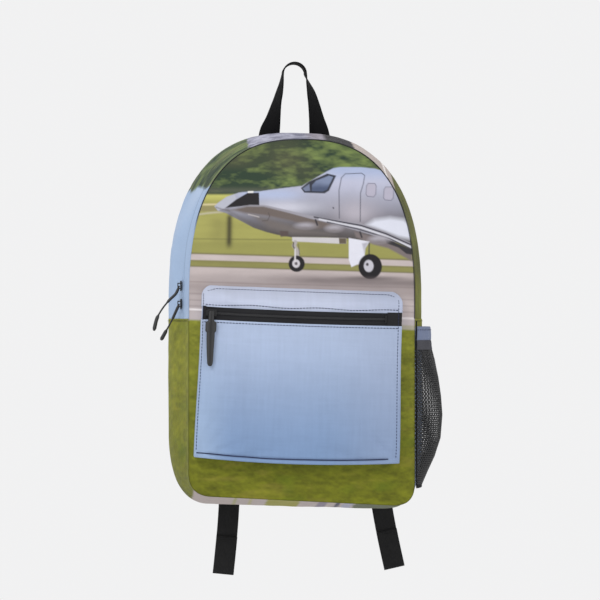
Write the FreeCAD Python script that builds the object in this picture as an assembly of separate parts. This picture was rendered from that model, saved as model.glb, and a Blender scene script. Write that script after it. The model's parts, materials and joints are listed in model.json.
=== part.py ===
"""Zip-round daypack for flight crew, hanging by its carry handle, with one solid for each sewn or moulded piece.

All sizes are in millimetres. X runs across the bag to the wearer's side pocket, Y from its front to its back, Z up.
The origin is the place on the inside of the carry handle's loop where a hook holds it. The bag hangs below it.
"""

import FreeCAD, Part
import math
import os

from FreeCAD import Vector

# Outline of the body in front view, at four depths: the front seam, the zip, the widest place and the back seam.
# Each is (y, left, right, top, bottom at the left, bottom at the right, corner width, corner height).
FRONT_SEAM = (-118.0, -130.5, 130.5, -99.5, -509.0, -523.0, 26.0, 26.0)
ZIP_LINE = (-88.0, -136.0, 135.5, -96.0, -514.0, -526.0, 33.0, 42.0)
WIDEST = (-33.0, -150.5, 149.0, -86.5, -522.5, -531.5, 47.0, 84.0)
BACK_SEAM = (0.0, -142.0, 140.0, -92.0, -516.0, -525.0, 42.0, 70.0)
SHAPE = (FRONT_SEAM, ZIP_LINE, WIDEST, BACK_SEAM)
ARCH_FOOT_Z = -288.0
ARCH_POWER = 2.55
ARCH_POINTS = 17

# Cloth and how it is layered.
FABRIC = 1.4
LINING = 0.7
LAYER_GAP = 0.2
SEAM_GAP = 0.4
WEBBING = 1.6
WEBBING_W = 25.0

# Main opening: the zip ends low on each side, and the front folds down above the front pocket.
FOLD_Z = -258.0
ZIP_END_Z = -306.0
SIDE_FOOT_Z = -488.0
TAPE_W = 11.0
CHAIN_W = 1.3
CHAIN_GAP = 0.25
SLIT = 1.7
BINDING_W = 9.0

# Front pocket, rolled a little clockwise in front view.
POCKET_W = 230.0
POCKET_TOP = -271.0
POCKET_BOTTOM = -468.0
POCKET_X = -4.0
POCKET_ROLL = 2.0
POCKET_DEPTH = 27.0
POCKET_ZIP_TOP = -296.0
POCKET_ZIP_H = 14.0
POCKET_CORNER = 13.0

# Carry handle, a webbing loop that twists on its way up each side: (x, z, twist in degrees).
HANDLE_RIGHT = ((31, -86.5, 0), (30, -79, 18), (27.5, -66, 38), (24, -48, 53), (20.5, -34, 63), (16.5, -22, 78))
HANDLE_LEFT = ((-30, -86.5, 0), (-28.5, -79, 28), (-25, -66, 52), (-21, -48, 67), (-17.5, -34, 75), (-15, -22, 84))
HANDLE_RADIUS = 13.0
HANDLE_Y = 4.0

# Back panel and the laptop sleeve inside it.
BACK_FOAM = 5.0
SLEEVE_TOP = -215.0
SLEEVE_W = 246.0
SLEEVE_DEPTH = 24.0
SLEEVE_PAD = 4.0

# Shoulder straps: (side, x at the ladder lock). They hang down the back.
STRAPS = {"left": (-1, -76.0), "right": (1, 98.0)}
STRAP_W = 60.0
STRAP_FOAM = 7.0
STRAP_TOP = Vector(43.0, 17.6, -116.0)
STRAP_FOOT_Z = -424.0
LOCK_Z = -447.0
LOCK_Y = 21.0
LOCK_SIZE = (35.0, 3.2, 29.0)
LOCK_BAR = 3.0
ANCHOR_X = 118.0
ANCHOR_Z = -496.0
TAIL_END = {"left": (-84.0, -614.0), "right": (124.0, -608.0)}
HEM = 46.0

# Bottle pocket of net on the wearer's side: (z, how far it stands out at mid depth, and at its back edge).
NET_MOUTH = (153.5, 147.8)
NET_STATIONS = (
    (-338.0, 153.5, 147.8),
    (-354.0, 159.5, 147.8),
    (-375.0, 164.5, 147.8),
    (-419.0, 169.0, 147.8),
    (-446.0, 167.0, 147.8),
    (-466.0, 160.5, 147.0),
    (-484.0, 151.0, 144.6),
    (-500.0, 143.6, 140.6),
)
NET_BAND_Z = (-310.0, -324.0, -337.0)
NET_THICK = 1.2
NET_FRONT_Y = -112.0
NET_BACK_Y = -9.0
NET_FRONT_X = 134.2

# Zip sliders and pulls.
SLIDER_L = 12.0
SLIDER_W = 8.5
SLIDER_PLATE = 1.6
BAIL_H = 3.2
BAIL_BAR = 1.1
BAIL_W = 1.4
WIRE = 1.1
PULL_HEAD = (13.0, 13.0, 3.4)
PULL_TIP_W = 6.5
PULL_LENGTH = 40.0
FORK_W = 6.0
FORK_SIDES = (-2.4, 2.4)
FORK_START = 0.62
POCKET_SLIDER_X = -104.0

# The sliders on the left: name, height, how far out and down each pull reaches, and how far it leans back.
UPPER_PULL = ((0, 0), (4, 9), (12, 17), (20, 27), (26, 38), (29.5, 52))
LOWER_PULL = ((0, 0), (4, 9), (9, 20), (15, 31), (21, 42))
SIDE_SLIDERS = (("upper", -268.0, UPPER_PULL, -5.5), ("lower", -289.0, LOWER_PULL, 5.5))


def box(low, high):
    """Block between two corners, given in any order."""
    corner = [min(a, b) for a, b in zip(low, high)]
    size = [abs(a - b) for a, b in zip(low, high)]
    return Part.makeBox(*size, Vector(*corner))


def slab(y0, y1, z0, z1, x0=-300.0, x1=300.0):
    """Block across the bag, for cutting a panel out of the body's wall."""
    return box((x0, y0, z0), (x1, y1, z1))


def save(name, *solids):
    """Writes one node from its solids."""
    shape = solids[0] if len(solids) == 1 else Part.makeCompound(list(solids))
    shape.exportStep("parts/%s.step" % name)


def body_outline(section, inset=0.0):
    """Closed wire of the body at one depth: a superellipse arch, straight sides and soft lower corners."""
    y, left, right, top, low_left, low_right, corner_w, corner_h = section
    left, right, top = left + inset, right - inset, top - inset
    low_left, low_right = low_left + inset, low_right + inset
    middle, half, rise = (left + right) / 2, (right - left) / 2, top - ARCH_FOOT_Z

    def on_arch(angle):
        c, s = math.cos(angle), math.sin(angle)
        across = math.copysign(abs(c) ** (2 / ARCH_POWER), c)
        return Vector(middle + half * across, y, ARCH_FOOT_Z + rise * abs(s) ** (2 / ARCH_POWER))

    arch = Part.BSplineCurve()
    turn = [math.pi * i / (ARCH_POINTS - 1) for i in range(ARCH_POINTS)]
    points = [on_arch(a) for a in turn]
    points[0], points[-1] = Vector(right, y, ARCH_FOOT_Z), Vector(left, y, ARCH_FOOT_Z)
    arch.interpolate(Points=points, InitialTangent=Vector(0, 0, 1), FinalTangent=Vector(0, 0, -1))

    slope = (low_right - low_left) / (right - left)
    left_run = Vector(left, y, low_left + corner_h)
    left_foot = Vector(left + corner_w, y, low_left + slope * corner_w)
    right_foot = Vector(right - corner_w, y, low_right - slope * corner_w)
    right_run = Vector(right, y, low_right + corner_h)
    left_corner, right_corner = Part.BezierCurve(), Part.BezierCurve()
    left_corner.setPoles([left_run, Vector(left, y, low_left), left_foot])
    right_corner.setPoles([right_foot, Vector(right, y, low_right), right_run])
    edges = [
        arch.toShape(),
        Part.makeLine(points[-1], left_run),
        left_corner.toShape(),
        Part.makeLine(left_foot, right_foot),
        right_corner.toShape(),
        Part.makeLine(right_run, points[0]),
    ]
    return Part.Wire(edges)


def barrel(inset):
    """The space the body fills, with every wall moved in by inset."""
    return Part.makeLoft([body_outline(section, inset) for section in SHAPE], True, False)


def body_wall(outer, inner):
    """Tube of the body's wall between two insets, open at the front and the back."""
    return barrel(outer).cut(barrel(inner))


def panel(section, y0, y1, inset=0.0):
    """Flat plate inside one of the body's outlines, from y0 to y1."""
    wire = body_outline((y0,) + tuple(section[1:]), inset)
    return Part.Face(wire).extrude(Vector(0, y1 - y0, 0))


def ribbon(stations, width, thickness, lift=0.0, side=0.0):
    """Strip of webbing or padding through stations of (centre, width direction).

    Lift moves it off its own face, and side moves it along its width.
    """
    centres = [centre for centre, across in stations]
    wires = []
    for i, (centre, across) in enumerate(stations):
        ahead = centres[min(i + 1, len(centres) - 1)] - centres[max(i - 1, 0)]
        ahead.normalize()
        across = across - ahead * across.dot(ahead)
        across.normalize()
        face = across.cross(ahead)
        middle = centre + face * lift + across * side
        a, b = across * (width / 2), face * (thickness / 2)
        wires.append(Part.makePolygon([middle - a - b, middle + a - b, middle + a + b, middle - a + b, middle - a - b]))
    return Part.makeLoft(wires, True, True)


def arc_stations(centre, radius, start, stop, steps, across=Vector(1, 0, 0)):
    """Stations round an arc in the YZ plane, with angles in degrees from +Y towards +Z."""
    turn = [math.radians(start + (stop - start) * i / steps) for i in range(steps + 1)]
    return [(centre + Vector(0, radius * math.cos(a), radius * math.sin(a)), across) for a in turn]


def make_body():
    """Outer panels, lining and bindings of the main compartment."""
    wall = body_wall(0.0, FABRIC)
    liner = body_wall(FABRIC + LAYER_GAP, FABRIC + LAYER_GAP + LINING)
    front, zip_y, back = FRONT_SEAM[0], ZIP_LINE[0], BACK_SEAM[0]
    high, low, gap = 0.0, -600.0, SEAM_GAP / 2

    # A strip of the wall in front of the zip folds down with the flap above the fold, and stays below it.
    before, behind = zip_y - SLIT, zip_y + SLIT
    save("flap_gusset", wall.common(slab(front, before, FOLD_Z + gap, high)))
    save("front_gusset_ends", wall.common(slab(front, before, ZIP_END_Z + gap, FOLD_Z - gap)))
    save("rear_gusset", wall.common(slab(behind, back, ZIP_END_Z + gap, high)))
    save("side_panel_left", wall.common(slab(front, back, SIDE_FOOT_Z + gap, ZIP_END_Z - gap, x1=0.0)))
    save("side_panel_right", wall.common(slab(front, back, SIDE_FOOT_Z + gap, ZIP_END_Z - gap, x0=0.0)))
    save("bottom_panel", wall.common(slab(front, back, low, SIDE_FOOT_Z - gap)))

    # Lining, kept clear of the zip tapes.
    tape_front, tape_rear = zip_y - TAPE_W - LAYER_GAP, zip_y + TAPE_W + LAYER_GAP
    flap_sides = liner.common(slab(front, tape_front, FOLD_Z + gap, high))
    rear = liner.common(slab(tape_rear, back, ZIP_END_Z + gap, high))
    ends = liner.common(slab(front, tape_front, ZIP_END_Z + gap, FOLD_Z - gap))
    lower = liner.common(slab(front, back, low, ZIP_END_Z - gap))

    # Front panel and its lining, each in two pieces that meet at the fold.
    outside, inside = front - FABRIC, front
    front_plate = panel(FRONT_SEAM, outside, inside)
    save("flap_panel", front_plate.common(slab(outside, inside, FOLD_Z + gap, high)))
    save("front_panel", front_plate.common(slab(outside, inside, low, FOLD_Z - gap)))
    start = inside + LAYER_GAP
    front_liner = panel(FRONT_SEAM, start, start + LINING, FABRIC + LINING + 2 * LAYER_GAP)
    save("flap_lining", front_liner.common(slab(start, start + LINING, FOLD_Z + gap, high)), flap_sides)
    front_part = front_liner.common(slab(start, start + LINING, low, FOLD_Z - gap))
    save("lining", front_part, rear, *ends.Solids, lower)

    # Tape that binds the raw seams inside, one loop behind the front panel and one before the back panel.
    inner = FABRIC + LINING + 2 * LAYER_GAP
    bind = body_wall(inner, inner + LINING)
    front_bind = bind.common(slab(start + LINING + LAYER_GAP, start + BINDING_W, low, FOLD_Z - gap))
    flap_bind = bind.common(slab(start + LINING + LAYER_GAP, start + BINDING_W, FOLD_Z + gap, high))
    save("front_seam_binding", front_bind)
    save("flap_seam_binding", flap_bind)
    save("back_seam_binding", bind.common(slab(back - BINDING_W, back - LAYER_GAP, low, high)))


def make_main_zip():
    """Two tapes, two rows of coil and the end stops of the zip that runs over the bag."""
    liner = body_wall(FABRIC + LAYER_GAP, FABRIC + LAYER_GAP + LINING)
    coil = body_wall(0.5, FABRIC)
    zip_y, gap, high = ZIP_LINE[0], SEAM_GAP / 2, 0.0
    front_tape = slab(zip_y - TAPE_W, zip_y - CHAIN_GAP, FOLD_Z + gap, high)
    front_tape_ends = slab(zip_y - TAPE_W, zip_y - CHAIN_GAP, ZIP_END_Z + gap, FOLD_Z - gap)
    rear_tape = slab(zip_y + CHAIN_GAP, zip_y + TAPE_W, ZIP_END_Z + gap, high)
    save("zip_tape_flap", liner.common(front_tape))
    save("zip_tape_body", liner.common(rear_tape), *liner.common(front_tape_ends).Solids)
    near, far = zip_y - CHAIN_GAP - CHAIN_W, zip_y + CHAIN_GAP + CHAIN_W
    stop_z = ZIP_END_Z + 4.0
    save("zip_coil_flap", coil.common(slab(near, zip_y - CHAIN_GAP, FOLD_Z + gap, high)))
    ends = coil.common(slab(near, zip_y - CHAIN_GAP, stop_z, FOLD_Z - gap))
    save("zip_coil_body", coil.common(slab(zip_y + CHAIN_GAP, far, stop_z, high)), *ends.Solids)
    save("zip_end_stops", coil.common(slab(near, far, ZIP_END_Z + gap, stop_z - gap)))


def make_back():
    """Padded back panel, laptop sleeve, and the patch that carries the straps."""
    y = BACK_SEAM[0]
    foam_y = y + LINING + LAYER_GAP
    cover_y = foam_y + BACK_FOAM + LAYER_GAP
    save("back_lining", panel(BACK_SEAM, y, y + LINING))
    save("back_foam", panel(BACK_SEAM, foam_y, foam_y + BACK_FOAM, 6.0))
    cover = panel(BACK_SEAM, cover_y, cover_y + FABRIC)
    rim = panel(BACK_SEAM, foam_y, cover_y).cut(panel(BACK_SEAM, foam_y, cover_y, 4.0))
    save("back_panel", cover.fuse(rim))
    patch_y = cover_y + FABRIC + LAYER_GAP
    save("strap_patch", box((-75, patch_y, -126), (75, patch_y + FABRIC, -107)))

    # The sleeve is a padded panel with a cloth strip down its sides and under it, open at its top.
    half, front = SLEEVE_W / 2, y - SLEEVE_DEPTH
    foot = -500.0
    pad = box((-half, front - SLEEVE_PAD, foot), (half, front, SLEEVE_TOP))
    save("laptop_sleeve", pad.makeFillet(1.2, pad.Edges))
    outer = box((-half, front + LAYER_GAP, foot), (half, y - LAYER_GAP, SLEEVE_TOP - 9.5))
    inner = box((-half + LINING, front, foot + LINING), (half - LINING, y, 0.0))
    save("sleeve_gusset", outer.cut(inner))
    trim = box((-half, front - SLEEVE_PAD - 0.9, SLEEVE_TOP - 9), (half, front + 0.9, SLEEVE_TOP + 1.0))
    room = box((-half, front - SLEEVE_PAD - 0.1, SLEEVE_TOP - 9), (half, front + 0.1, SLEEVE_TOP + 0.1))
    save("sleeve_binding", trim.cut(room))


def pocket_frame(shape):
    """Rolls a pocket piece into place. It is made upright about its own middle line."""
    middle = Vector(POCKET_X, 0, (POCKET_TOP + POCKET_BOTTOM) / 2)
    shape = shape.copy()
    shape.translate(Vector(POCKET_X, 0, 0))
    shape.rotate(middle, Vector(0, 1, 0), POCKET_ROLL)
    return shape


def pocket_block(inset):
    """Space of the front pocket: a box whose top slopes back, with its upper corners cut off."""
    back = FRONT_SEAM[0] - FABRIC - SEAM_GAP
    face = back - POCKET_DEPTH + inset
    top, foot = POCKET_TOP - inset, POCKET_BOTTOM + inset
    side = [Vector(0, back, top), Vector(0, face, POCKET_ZIP_TOP + 2), Vector(0, face, foot), Vector(0, back, foot)]
    half = POCKET_W / 2 - inset
    block = Part.Face(Part.makePolygon(side + side[:1])).extrude(Vector(2 * half, 0, 0))
    block.translate(Vector(-half, 0, 0))
    cut, deep = POCKET_CORNER, POCKET_DEPTH + 4
    for way in (-1, 1):
        edge = way * half
        corner = [Vector(edge, back + 2, top + 1), Vector(edge + way, back + 2, top - cut)]
        corner += [Vector(edge + way, back + 2, top + 1), Vector(edge - way * cut, back + 2, top + 1)]
        corner = [corner[3], corner[2], corner[1]]
        wedge = Part.Face(Part.makePolygon(corner + corner[:1])).extrude(Vector(0, -deep, 0))
        block = block.cut(wedge)
    return block


def make_pocket():
    """Front pocket: face, sloping top, sides, bottom and its zip."""
    shell = pocket_block(0.0).cut(pocket_block(FABRIC))
    back = FRONT_SEAM[0] - FABRIC - SEAM_GAP
    face_y = back - POCKET_DEPTH
    gap, half = SEAM_GAP / 2, POCKET_W / 2
    zip_foot = POCKET_ZIP_TOP - POCKET_ZIP_H
    edge, skin = half - FABRIC - gap, face_y + FABRIC
    face = box((-edge, face_y, POCKET_BOTTOM + FABRIC + gap), (edge, skin, zip_foot - gap))
    above = slab(face_y - 1, back, POCKET_ZIP_TOP + gap, 0.0)
    below = slab(skin + gap, back, -600.0, POCKET_ZIP_TOP - gap)
    sides = shell.common(slab(face_y - 1, back, POCKET_BOTTOM + FABRIC + gap, POCKET_ZIP_TOP - gap))
    save("pocket_face", pocket_frame(face))
    save("pocket_top", pocket_frame(shell.common(above)))
    gusset = [sides.common(box((x, face_y, -600), (x + FABRIC, back, 0))) for x in (-half, half - FABRIC)]
    gusset.append(shell.common(slab(face_y - 1, back, POCKET_BOTTOM, POCKET_BOTTOM + FABRIC)))
    save("pocket_gusset", *[pocket_frame(strip) for strip in gusset])
    middle = (POCKET_ZIP_TOP + zip_foot) / 2
    tape_y = face_y + 0.3
    upper = box((-edge, tape_y, middle + CHAIN_GAP + CHAIN_W), (edge, tape_y + LINING, POCKET_ZIP_TOP - gap))
    lower = box((-edge, tape_y, zip_foot + gap), (edge, tape_y + LINING, middle - CHAIN_GAP - CHAIN_W))
    save("pocket_zip_tapes", pocket_frame(upper), pocket_frame(lower))
    start, stop = edge - 4, edge - 19
    rows = []
    for way in (-1, 1):
        z0, z1 = middle + way * CHAIN_GAP, middle + way * (CHAIN_GAP + CHAIN_W - 0.05)
        rows.append(pocket_frame(box((-start, tape_y - 0.3, z0), (stop, tape_y + 1.2, z1))))
    save("pocket_zip_coil", *rows)
    tabs = []
    for near, far in ((-start - 0.3, -edge), (stop + 0.3, edge)):
        tabs.append(pocket_frame(box((near, face_y - 0.2, zip_foot + 1), (far, tape_y - 0.1, POCKET_ZIP_TOP - 1))))
    save("pocket_zip_tabs", *tabs)


def make_slider():
    """Slider body with its bail, made with the zip along X and the outside towards -Y. Its foot is at y 0."""
    half, wide = SLIDER_L / 2, SLIDER_W / 2
    shoulder = half * 0.35
    shape = [(-half, -wide * 0.72), (-shoulder, -wide), (half, -wide * 0.9)]
    shape += [(half, wide * 0.9), (-shoulder, wide), (-half, wide * 0.72)]
    points = [Vector(x, 0, z) for x, z in shape]
    plate = Part.Face(Part.makePolygon(points + points[:1])).extrude(Vector(0, -SLIDER_PLATE, 0))
    plate = plate.makeFillet(0.5, plate.Edges)
    legs, top = half * 0.62, SLIDER_PLATE + BAIL_H
    outer = box((-legs, 0.5 - SLIDER_PLATE, -BAIL_W / 2), (legs, -top, BAIL_W / 2))
    inner = box((-legs + 1.2, -SLIDER_PLATE, -3), (legs - 1.2, -top + BAIL_BAR, 3))
    return plate.fuse(outer.cut(inner)).removeSplitter()


def make_pull():
    """Pull that hangs along -Z from a bail bar that lies along X at the origin: a wire link and a moulded grip."""
    near, far, length = 1.1, 1.1 + WIRE, 7.6
    thick = WIRE / 2
    eye = Part.makeCylinder(far, WIRE, Vector(-thick, 0, 0), Vector(1, 0, 0))
    legs = box((-thick, -far, -length), (thick, far, 0))
    gap = box((-WIRE, -near, -length + WIRE), (WIRE, near, 0))
    link = eye.fuse(legs).cut(gap).cut(Part.makeCylinder(near, 4, Vector(-2, 0, 0), Vector(1, 0, 0)))
    head_w, head_h, head_t = PULL_HEAD
    top = -length + 2.6
    head = box((-head_w / 2, -head_t / 2, top - head_h), (head_w / 2, head_t / 2, top))
    head = head.makeFillet(0.9, head.Edges)
    tongue_top, tip = top - head_h + 0.6, top - head_h - PULL_LENGTH + 13
    root, end, y = PULL_HEAD[0] * 0.38, PULL_TIP_W / 2, -1.1
    shape = [Vector(-root, y, tongue_top), Vector(-end, y, tip), Vector(end, y, tip), Vector(root, y, tongue_top)]
    edges = [
        Part.makeLine(shape[0], shape[1]),
        Part.Arc(shape[1], Vector(0, y, tip - end), shape[2]).toShape(),
        Part.makeLine(shape[2], shape[3]),
        Part.makeLine(shape[3], shape[0]),
    ]
    tongue = Part.Face(Part.Wire(edges)).extrude(Vector(0, 2.2, 0))
    room = box((-thick - 0.2, -far - 0.2, -length - 0.2), (thick + 0.2, far + 0.2, top + 1))
    return link, head.fuse(tongue).cut(room)


def make_side_pull(path, spread):
    """Stiff pull that curves out from the side of the bag, with its pivot bar along Y at the origin.

    A fork reaches round the bail, and the tongue that follows it ends in a thick grip.
    """
    stations = []
    for i, (out, down) in enumerate(path):
        stations.append((Vector(-out, spread * min(1, i / 2), -down), Vector(0, 1, 0)))
    pivot, neck = stations[0], stations[1]
    bar = box((-0.6, -FORK_W / 2, -0.6), (0.6, FORK_W / 2, 0.6))
    start = (neck[0] * FORK_START, Vector(0, 1, 0))
    prongs = [ribbon([pivot, (neck[0] * (FORK_START + 0.12), Vector(0, 1, 0))], 1.2, 1.2, side=way) for way in FORK_SIDES]
    tongue = ribbon([start] + stations[1:], PULL_TIP_W, 2.4)
    end, before = stations[-1][0], stations[-2][0]
    tip = end + (end - before)
    grip = ribbon([(end, Vector(0, 1, 0)), (tip, Vector(0, 1, 0))], PULL_TIP_W + 2.5, 4.2)
    return bar.fuse(prongs).fuse(tongue).fuse(grip).removeSplitter()


def to_left_side(shape):
    """Turns a piece made for a level zip facing -Y so that it fits an upright zip facing -X."""
    shape = shape.copy()
    shape.rotate(Vector(0, 0, 0), Vector(1, 1, 1), -120)
    return shape


def moved(shape, where):
    shape = shape.copy()
    shape.translate(where)
    return shape


def make_sliders():
    """Two sliders at the left end of the main zip and one on the front pocket, each with its pull."""
    slider, (link, grip) = make_slider(), make_pull()
    clear, side_clear = 0.6, 1.8
    bar_y = SLIDER_PLATE + BAIL_H - BAIL_BAR / 2
    window_y = SLIDER_PLATE + (BAIL_H - BAIL_BAR) / 2
    side_x = ZIP_LINE[1] - side_clear
    for name, z, path, spread in SIDE_SLIDERS:
        save(name + "_slider", moved(to_left_side(slider), Vector(side_x, ZIP_LINE[0], z)))
        pull = make_side_pull(path, spread)
        save(name + "_pull", moved(pull, Vector(side_x - window_y, ZIP_LINE[0], z)))

    face_y = FRONT_SEAM[0] - FABRIC - SEAM_GAP - POCKET_DEPTH
    z = POCKET_ZIP_TOP - POCKET_ZIP_H / 2
    place = Vector(POCKET_SLIDER_X, face_y - clear, z)
    save("pocket_slider", pocket_frame(moved(slider, place)))
    pivot = pocket_frame(Part.Vertex(place + Vector(0, -bar_y, 0))).Point
    save("pocket_pull", moved(link, pivot), moved(grip, pivot))


def make_handle():
    """Carry handle: up from the seam, over the hook and down again.

    Its width lies across the bag at its feet and turns to lie along the hook at its top.
    """
    stations = [(Vector(x, 0, z), math.radians(twist)) for x, z, twist in HANDLE_RIGHT]
    rise = WEBBING / 2
    for degrees in range(0, 181, 20):
        a = math.radians(degrees)
        r = HANDLE_RADIUS + rise
        stations.append((Vector(r * math.cos(a), 0, -HANDLE_RADIUS + r * math.sin(a)), math.pi / 2))
    stations += [(Vector(x, 0, z), math.radians(twist)) for x, z, twist in reversed(HANDLE_LEFT)]
    centres = [c for c, t in stations]
    turned = []
    for i, (centre, twist) in enumerate(stations):
        ahead = centres[min(i + 1, len(centres) - 1)] - centres[max(i - 1, 0)]
        ahead.normalize()
        flat = Vector(ahead.z, 0, -ahead.x)
        lean = HANDLE_Y * min(1, max(0, (-HANDLE_RADIUS - centre.z) / 50))
        turned.append((centre + Vector(0, lean, 0), flat * math.cos(twist) + Vector(0, math.sin(twist), 0)))
    save("carry_handle", ribbon(turned, WEBBING_W, WEBBING))
    ends = []
    cover = BACK_SEAM[0] + LINING + 2 * LAYER_GAP + BACK_FOAM + FABRIC
    y = cover + 2 * LAYER_GAP + FABRIC
    for way in (-1, 1):
        x = way * HANDLE_RIGHT[0][0]
        ends.append(box((x - WEBBING_W / 2, y, -123), (x + WEBBING_W / 2, y + WEBBING, -104)))
    save("handle_ends", *ends)


def strap_path(side, foot_x):
    """Centre line of a shoulder strap from its sewn top to its foot, as stations for ribbon."""
    top, foot = Vector(side * STRAP_TOP.x, STRAP_TOP.y, STRAP_TOP.z), Vector(foot_x, LOCK_Y - 1, STRAP_FOOT_Z)
    stations = []
    for i in range(7):
        t = i / 6
        bow = Vector(-side * 9 * math.sin(math.pi * t), 11 * math.sin(math.pi * t) ** 0.8, 0)
        stations.append((top + (foot - top) * t + bow, Vector(1, 0, 0)))
    return stations


def make_lock():
    """Ladder lock: a flat frame with three bars, centred on its middle bar."""
    wide, thick, tall = LOCK_SIZE
    plate = box((-wide / 2, -thick / 2, -tall / 2), (wide / 2, thick / 2, tall / 2))
    plate = plate.makeFillet(3.0, [e for e in plate.Edges if e.BoundBox.YLength > thick - 0.1])
    window_w = WEBBING_W + 2.0
    window_h = (tall - 3 * LOCK_BAR) / 2
    for way in (-1, 1):
        z = way * (LOCK_BAR / 2 + window_h / 2)
        opening = box((-window_w / 2, -9, z - window_h / 2), (window_w / 2, 9, z + window_h / 2))
        plate = plate.cut(opening)
    return plate


def make_strap(name):
    """One shoulder strap with its foam, cover, lining, edge tape, webbing, ladder lock and adjusting tail."""
    side, foot_x = STRAPS[name]
    path = strap_path(side, foot_x)
    cover = 1.1
    step = (STRAP_FOAM + cover) / 2 + 0.15
    save("strap_foam_" + name, ribbon(path, STRAP_W - 5, STRAP_FOAM))
    save("strap_cover_" + name, ribbon(path, STRAP_W - 5, cover, lift=step))
    save("strap_lining_" + name, ribbon(path, STRAP_W - 5, cover, lift=-step))
    edge = (STRAP_W - 5) / 2 + 1.0
    tape_h = STRAP_FOAM + 2 * cover + 0.8
    tapes = [ribbon(path, 1.5, tape_h, side=way * edge) for way in (-1, 1)]
    save("strap_binding_" + name, *tapes)
    webbing_lift = step + cover / 2 + WEBBING / 2 + 0.15
    foot = path[-1][0]
    bar = Vector(foot_x, LOCK_Y, LOCK_Z + LOCK_SIZE[2] / 2 - LOCK_BAR / 2)
    down = [(c + Vector(0, webbing_lift, 0), w) for c, w in path]
    radius = 2.9
    end = down[-1][0]
    loop = [(Vector(foot_x, bar.y + radius + 2.2, end.z - 4), Vector(1, 0, 0))]
    loop += arc_stations(bar, radius, 20, -160, 6)
    loop += [(Vector(foot_x, bar.y - radius - 0.6, bar.z + 6), Vector(1, 0, 0))]
    save("strap_webbing_" + name, ribbon(down, WEBBING_W, WEBBING), ribbon(loop, WEBBING_W, 1.2))

    middle = Vector(foot_x, LOCK_Y, LOCK_Z)
    save("ladder_lock_" + name, moved(make_lock(), middle))

    radius = 3.8
    end_x, end_z = TAIL_END[name]
    wrap = arc_stations(middle, radius, 175, 10, 6)
    lean = (end_x - foot_x) / (end_z - LOCK_Z)
    tail = wrap
    for z in (-470.0, -520.0, -560.0, end_z):
        tail.append((Vector(foot_x + lean * (z - LOCK_Z), LOCK_Y + radius + 0.7, z), Vector(1, 0, lean)))
    strip = ribbon(tail, WEBBING_W, WEBBING)
    start = Vector(foot_x + lean * (end_z + HEM - LOCK_Z), LOCK_Y + radius + 0.7, end_z + HEM)
    hem = [(start, Vector(1, 0, lean)), (tail[-1][0], Vector(1, 0, lean))]
    save("tail_" + name, strip, ribbon(hem, WEBBING_W, WEBBING, lift=-WEBBING - 0.1))

    # Webbing from the corner tab up behind the ladder lock.
    tab_x = side * ANCHOR_X
    low = Vector(tab_x, 12.5, ANCHOR_Z)
    high = Vector(foot_x, LOCK_Y - 4.5, LOCK_Z - 17)
    run = high - low
    across = Vector(run.z, 0, -run.x)
    across.normalize()
    stations = [(low + run * (i / 4) + Vector(0, 3 * math.sin(math.pi * i / 4), 0), across) for i in range(5)]
    save("adjuster_webbing_" + name, ribbon(stations, WEBBING_W, WEBBING))


def corner_tab(side):
    """Triangle of cloth sewn to the lower corner of the back panel, which holds the lower webbing."""
    y, edge, middle = 9.8, side * (BACK_SEAM[2] - 6), side * ANCHOR_X
    tab = [Vector(edge, y, ANCHOR_Z + 38), Vector(edge, y, ANCHOR_Z + 20), Vector(edge - side * 8, y, ANCHOR_Z - 3)]
    tab += [Vector(middle - side * 14, y, ANCHOR_Z - 10), Vector(middle - side * 20, y, ANCHOR_Z + 8)]
    return Part.Face(Part.makePolygon(tab + tab[:1])).extrude(Vector(0, FABRIC, 0))


def net_section(z, out, back, thick):
    """Closed wire of a thin skin that bows out from the side panel at height z."""
    middle = (NET_FRONT_Y + NET_BACK_Y) / 2
    outer = [Vector(NET_FRONT_X, NET_FRONT_Y, z), Vector(out, middle, z), Vector(back, NET_BACK_Y, z)]
    shrink = Vector(thick, 0, 0)
    inner = [p - shrink for p in outer]
    edges = [
        Part.Arc(*outer).toShape(),
        Part.makeLine(outer[2], inner[2]),
        Part.Arc(inner[2], inner[1], inner[0]).toShape(),
        Part.makeLine(inner[0], outer[0]),
    ]
    return Part.Wire(edges)


def make_bottle_pocket():
    """Net pocket on the side, with a cloth band and an elastic edge at its mouth."""
    save("bottle_net", Part.makeLoft([net_section(*s, NET_THICK) for s in NET_STATIONS], True, False))
    top, elastic_top, foot = NET_BAND_Z
    band = Part.makeLoft([net_section(z, *NET_MOUTH, FABRIC) for z in (top, elastic_top)], True, True)
    elastic = Part.makeLoft([net_section(z, *NET_MOUTH, FABRIC) for z in (elastic_top - 0.3, foot)], True, True)
    save("bottle_band", band)
    save("bottle_elastic", elastic)


def main():
    os.makedirs("parts", exist_ok=True)
    make_body()
    make_main_zip()
    make_back()
    make_pocket()
    make_sliders()
    make_handle()
    for name in STRAPS:
        make_strap(name)
    save("corner_tabs", corner_tab(-1), corner_tab(1))
    make_bottle_pocket()


main()
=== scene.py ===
"""Looks of the flight bag: printed cloth, light-blue pocket, black zips and webbing, bottle net."""

import json
import math

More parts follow.
